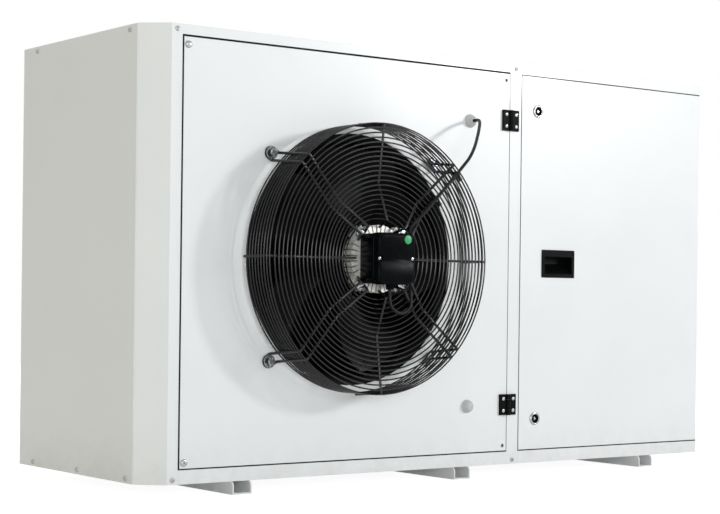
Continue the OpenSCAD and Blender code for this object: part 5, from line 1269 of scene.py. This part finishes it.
# %% Light and ground
def area_light(name, place, target, size, power, tint):
    """A rectangular lamp that looks at a point."""
    light = bpy.data.objects.new(name, bpy.data.lights.new(name, "AREA"))
    light.data.shape = "RECTANGLE"
    light.data.size, light.data.size_y = size
    light.data.energy = power
    light.data.color = tint
    light.location = place
    light.rotation_euler = (Vector(target) - Vector(place)).to_track_quat("-Z", "Y").to_euler()
    scene.collection.objects.link(light)


area_light("key", (3.4, -4.0, 1.7), (0, -0.2, 0.45), (0.6, 0.6), 84, (1.0, 1.0, 1.0))
area_light("front", (-2.4, -5.4, 0.95), (0, 0, 0.42), (3.4, 1.6), 130, (0.97, 0.99, 1.0))
area_light("left", (-5.0, -0.4, 1.8), (-0.7, 0, 0.45), (2.4, 2.4), 26, (1.0, 0.90, 0.52))
area_light("top", (0.2, 0.4, 4.5), (0, 0, 0.5), (3.0, 3.0), 60, (1.0, 1.0, 1.0))
area_light("rear", (1.5, 5.0, 2.6), (0, 0, 0.45), (3.4, 2.4), 126, (1.0, 1.0, 1.0))


def seen_directly(nodes):
    """1 for what the camera, a reflection or a clear object sees, and 0 for light on the object."""
    path = nodes.add("ShaderNodeLightPath").outputs
    rays = [Field(nodes, path[name]) for name in ("Is Camera Ray", "Is Glossy Ray", "Is Transmission Ray")]
    return (rays[0] + rays[1] + rays[2]).held()


world = bpy.data.worlds.new("studio")
scene.world = world
world.use_nodes = True
sky = Nodes(world.node_tree)
backdrop = world.node_tree.nodes["Background"]
sky.feed(backdrop.inputs["Color"], sky.blend(seen_directly(sky), colour(0.97, 0.985, 1.0), colour(1, 1, 1)))
SKY_LIGHT = 0.25
sky.feed(backdrop.inputs["Strength"], seen_directly(sky) * (1 - SKY_LIGHT) + SKY_LIGHT)

floor_mesh = bpy.data.meshes.new("floor")
FLOOR, FLOOR_TONE, FLOOR_GLOW = 14.0, 0.36, 0.92
floor_mesh.from_pydata([(-FLOOR, -FLOOR, 0), (FLOOR, -FLOOR, 0), (FLOOR, FLOOR, 0), (-FLOOR, FLOOR, 0)], [],
                       [(0, 1, 2, 3)])
floor = new_object("floor", floor_mesh)
ground = bpy.data.materials.new("pale_floor")
ground.use_nodes = True
tree = Nodes(ground.node_tree)
ground.node_tree.nodes.remove(ground.node_tree.nodes["Principled BSDF"])
shown = tree.add("ShaderNodeBsdfDiffuse", {}, {
    "Color": colour(FLOOR_TONE, FLOOR_TONE, FLOOR_TONE)}).outputs[0]
glow = tree.add("ShaderNodeEmission", {}, {"Color": colour(1, 1, 1), "Strength": FLOOR_GLOW}).outputs[0]
shown = tree.add("ShaderNodeAddShader", {}, {0: shown, 1: glow}).outputs[0]
bounced = tree.add("ShaderNodeBsdfDiffuse", {}, {"Color": colour(0.78, 0.78, 0.77)}).outputs[0]
surface = tree.add("ShaderNodeMixShader", {}, {0: seen_directly(tree), 1: bounced, 2: shown}).outputs[0]
tree.feed(ground.node_tree.nodes["Material Output"].inputs["Surface"], surface)
floor.data.materials.append(ground)

# %% [markdown]
# ## Finish
# The CAD nodes that no piece takes the place of show as they are, with the finish of their material
# slot, and their names are printed.

# %% Finish
left_over = [name for name, node in cad_nodes.items() if not node.hide_render]
for name in left_over:
    for material_slot in cad_nodes[name].material_slots:
        material_slot.material = FINISHES[SLOT_OF[name]]
print("CAD nodes that show as they are:", left_over)
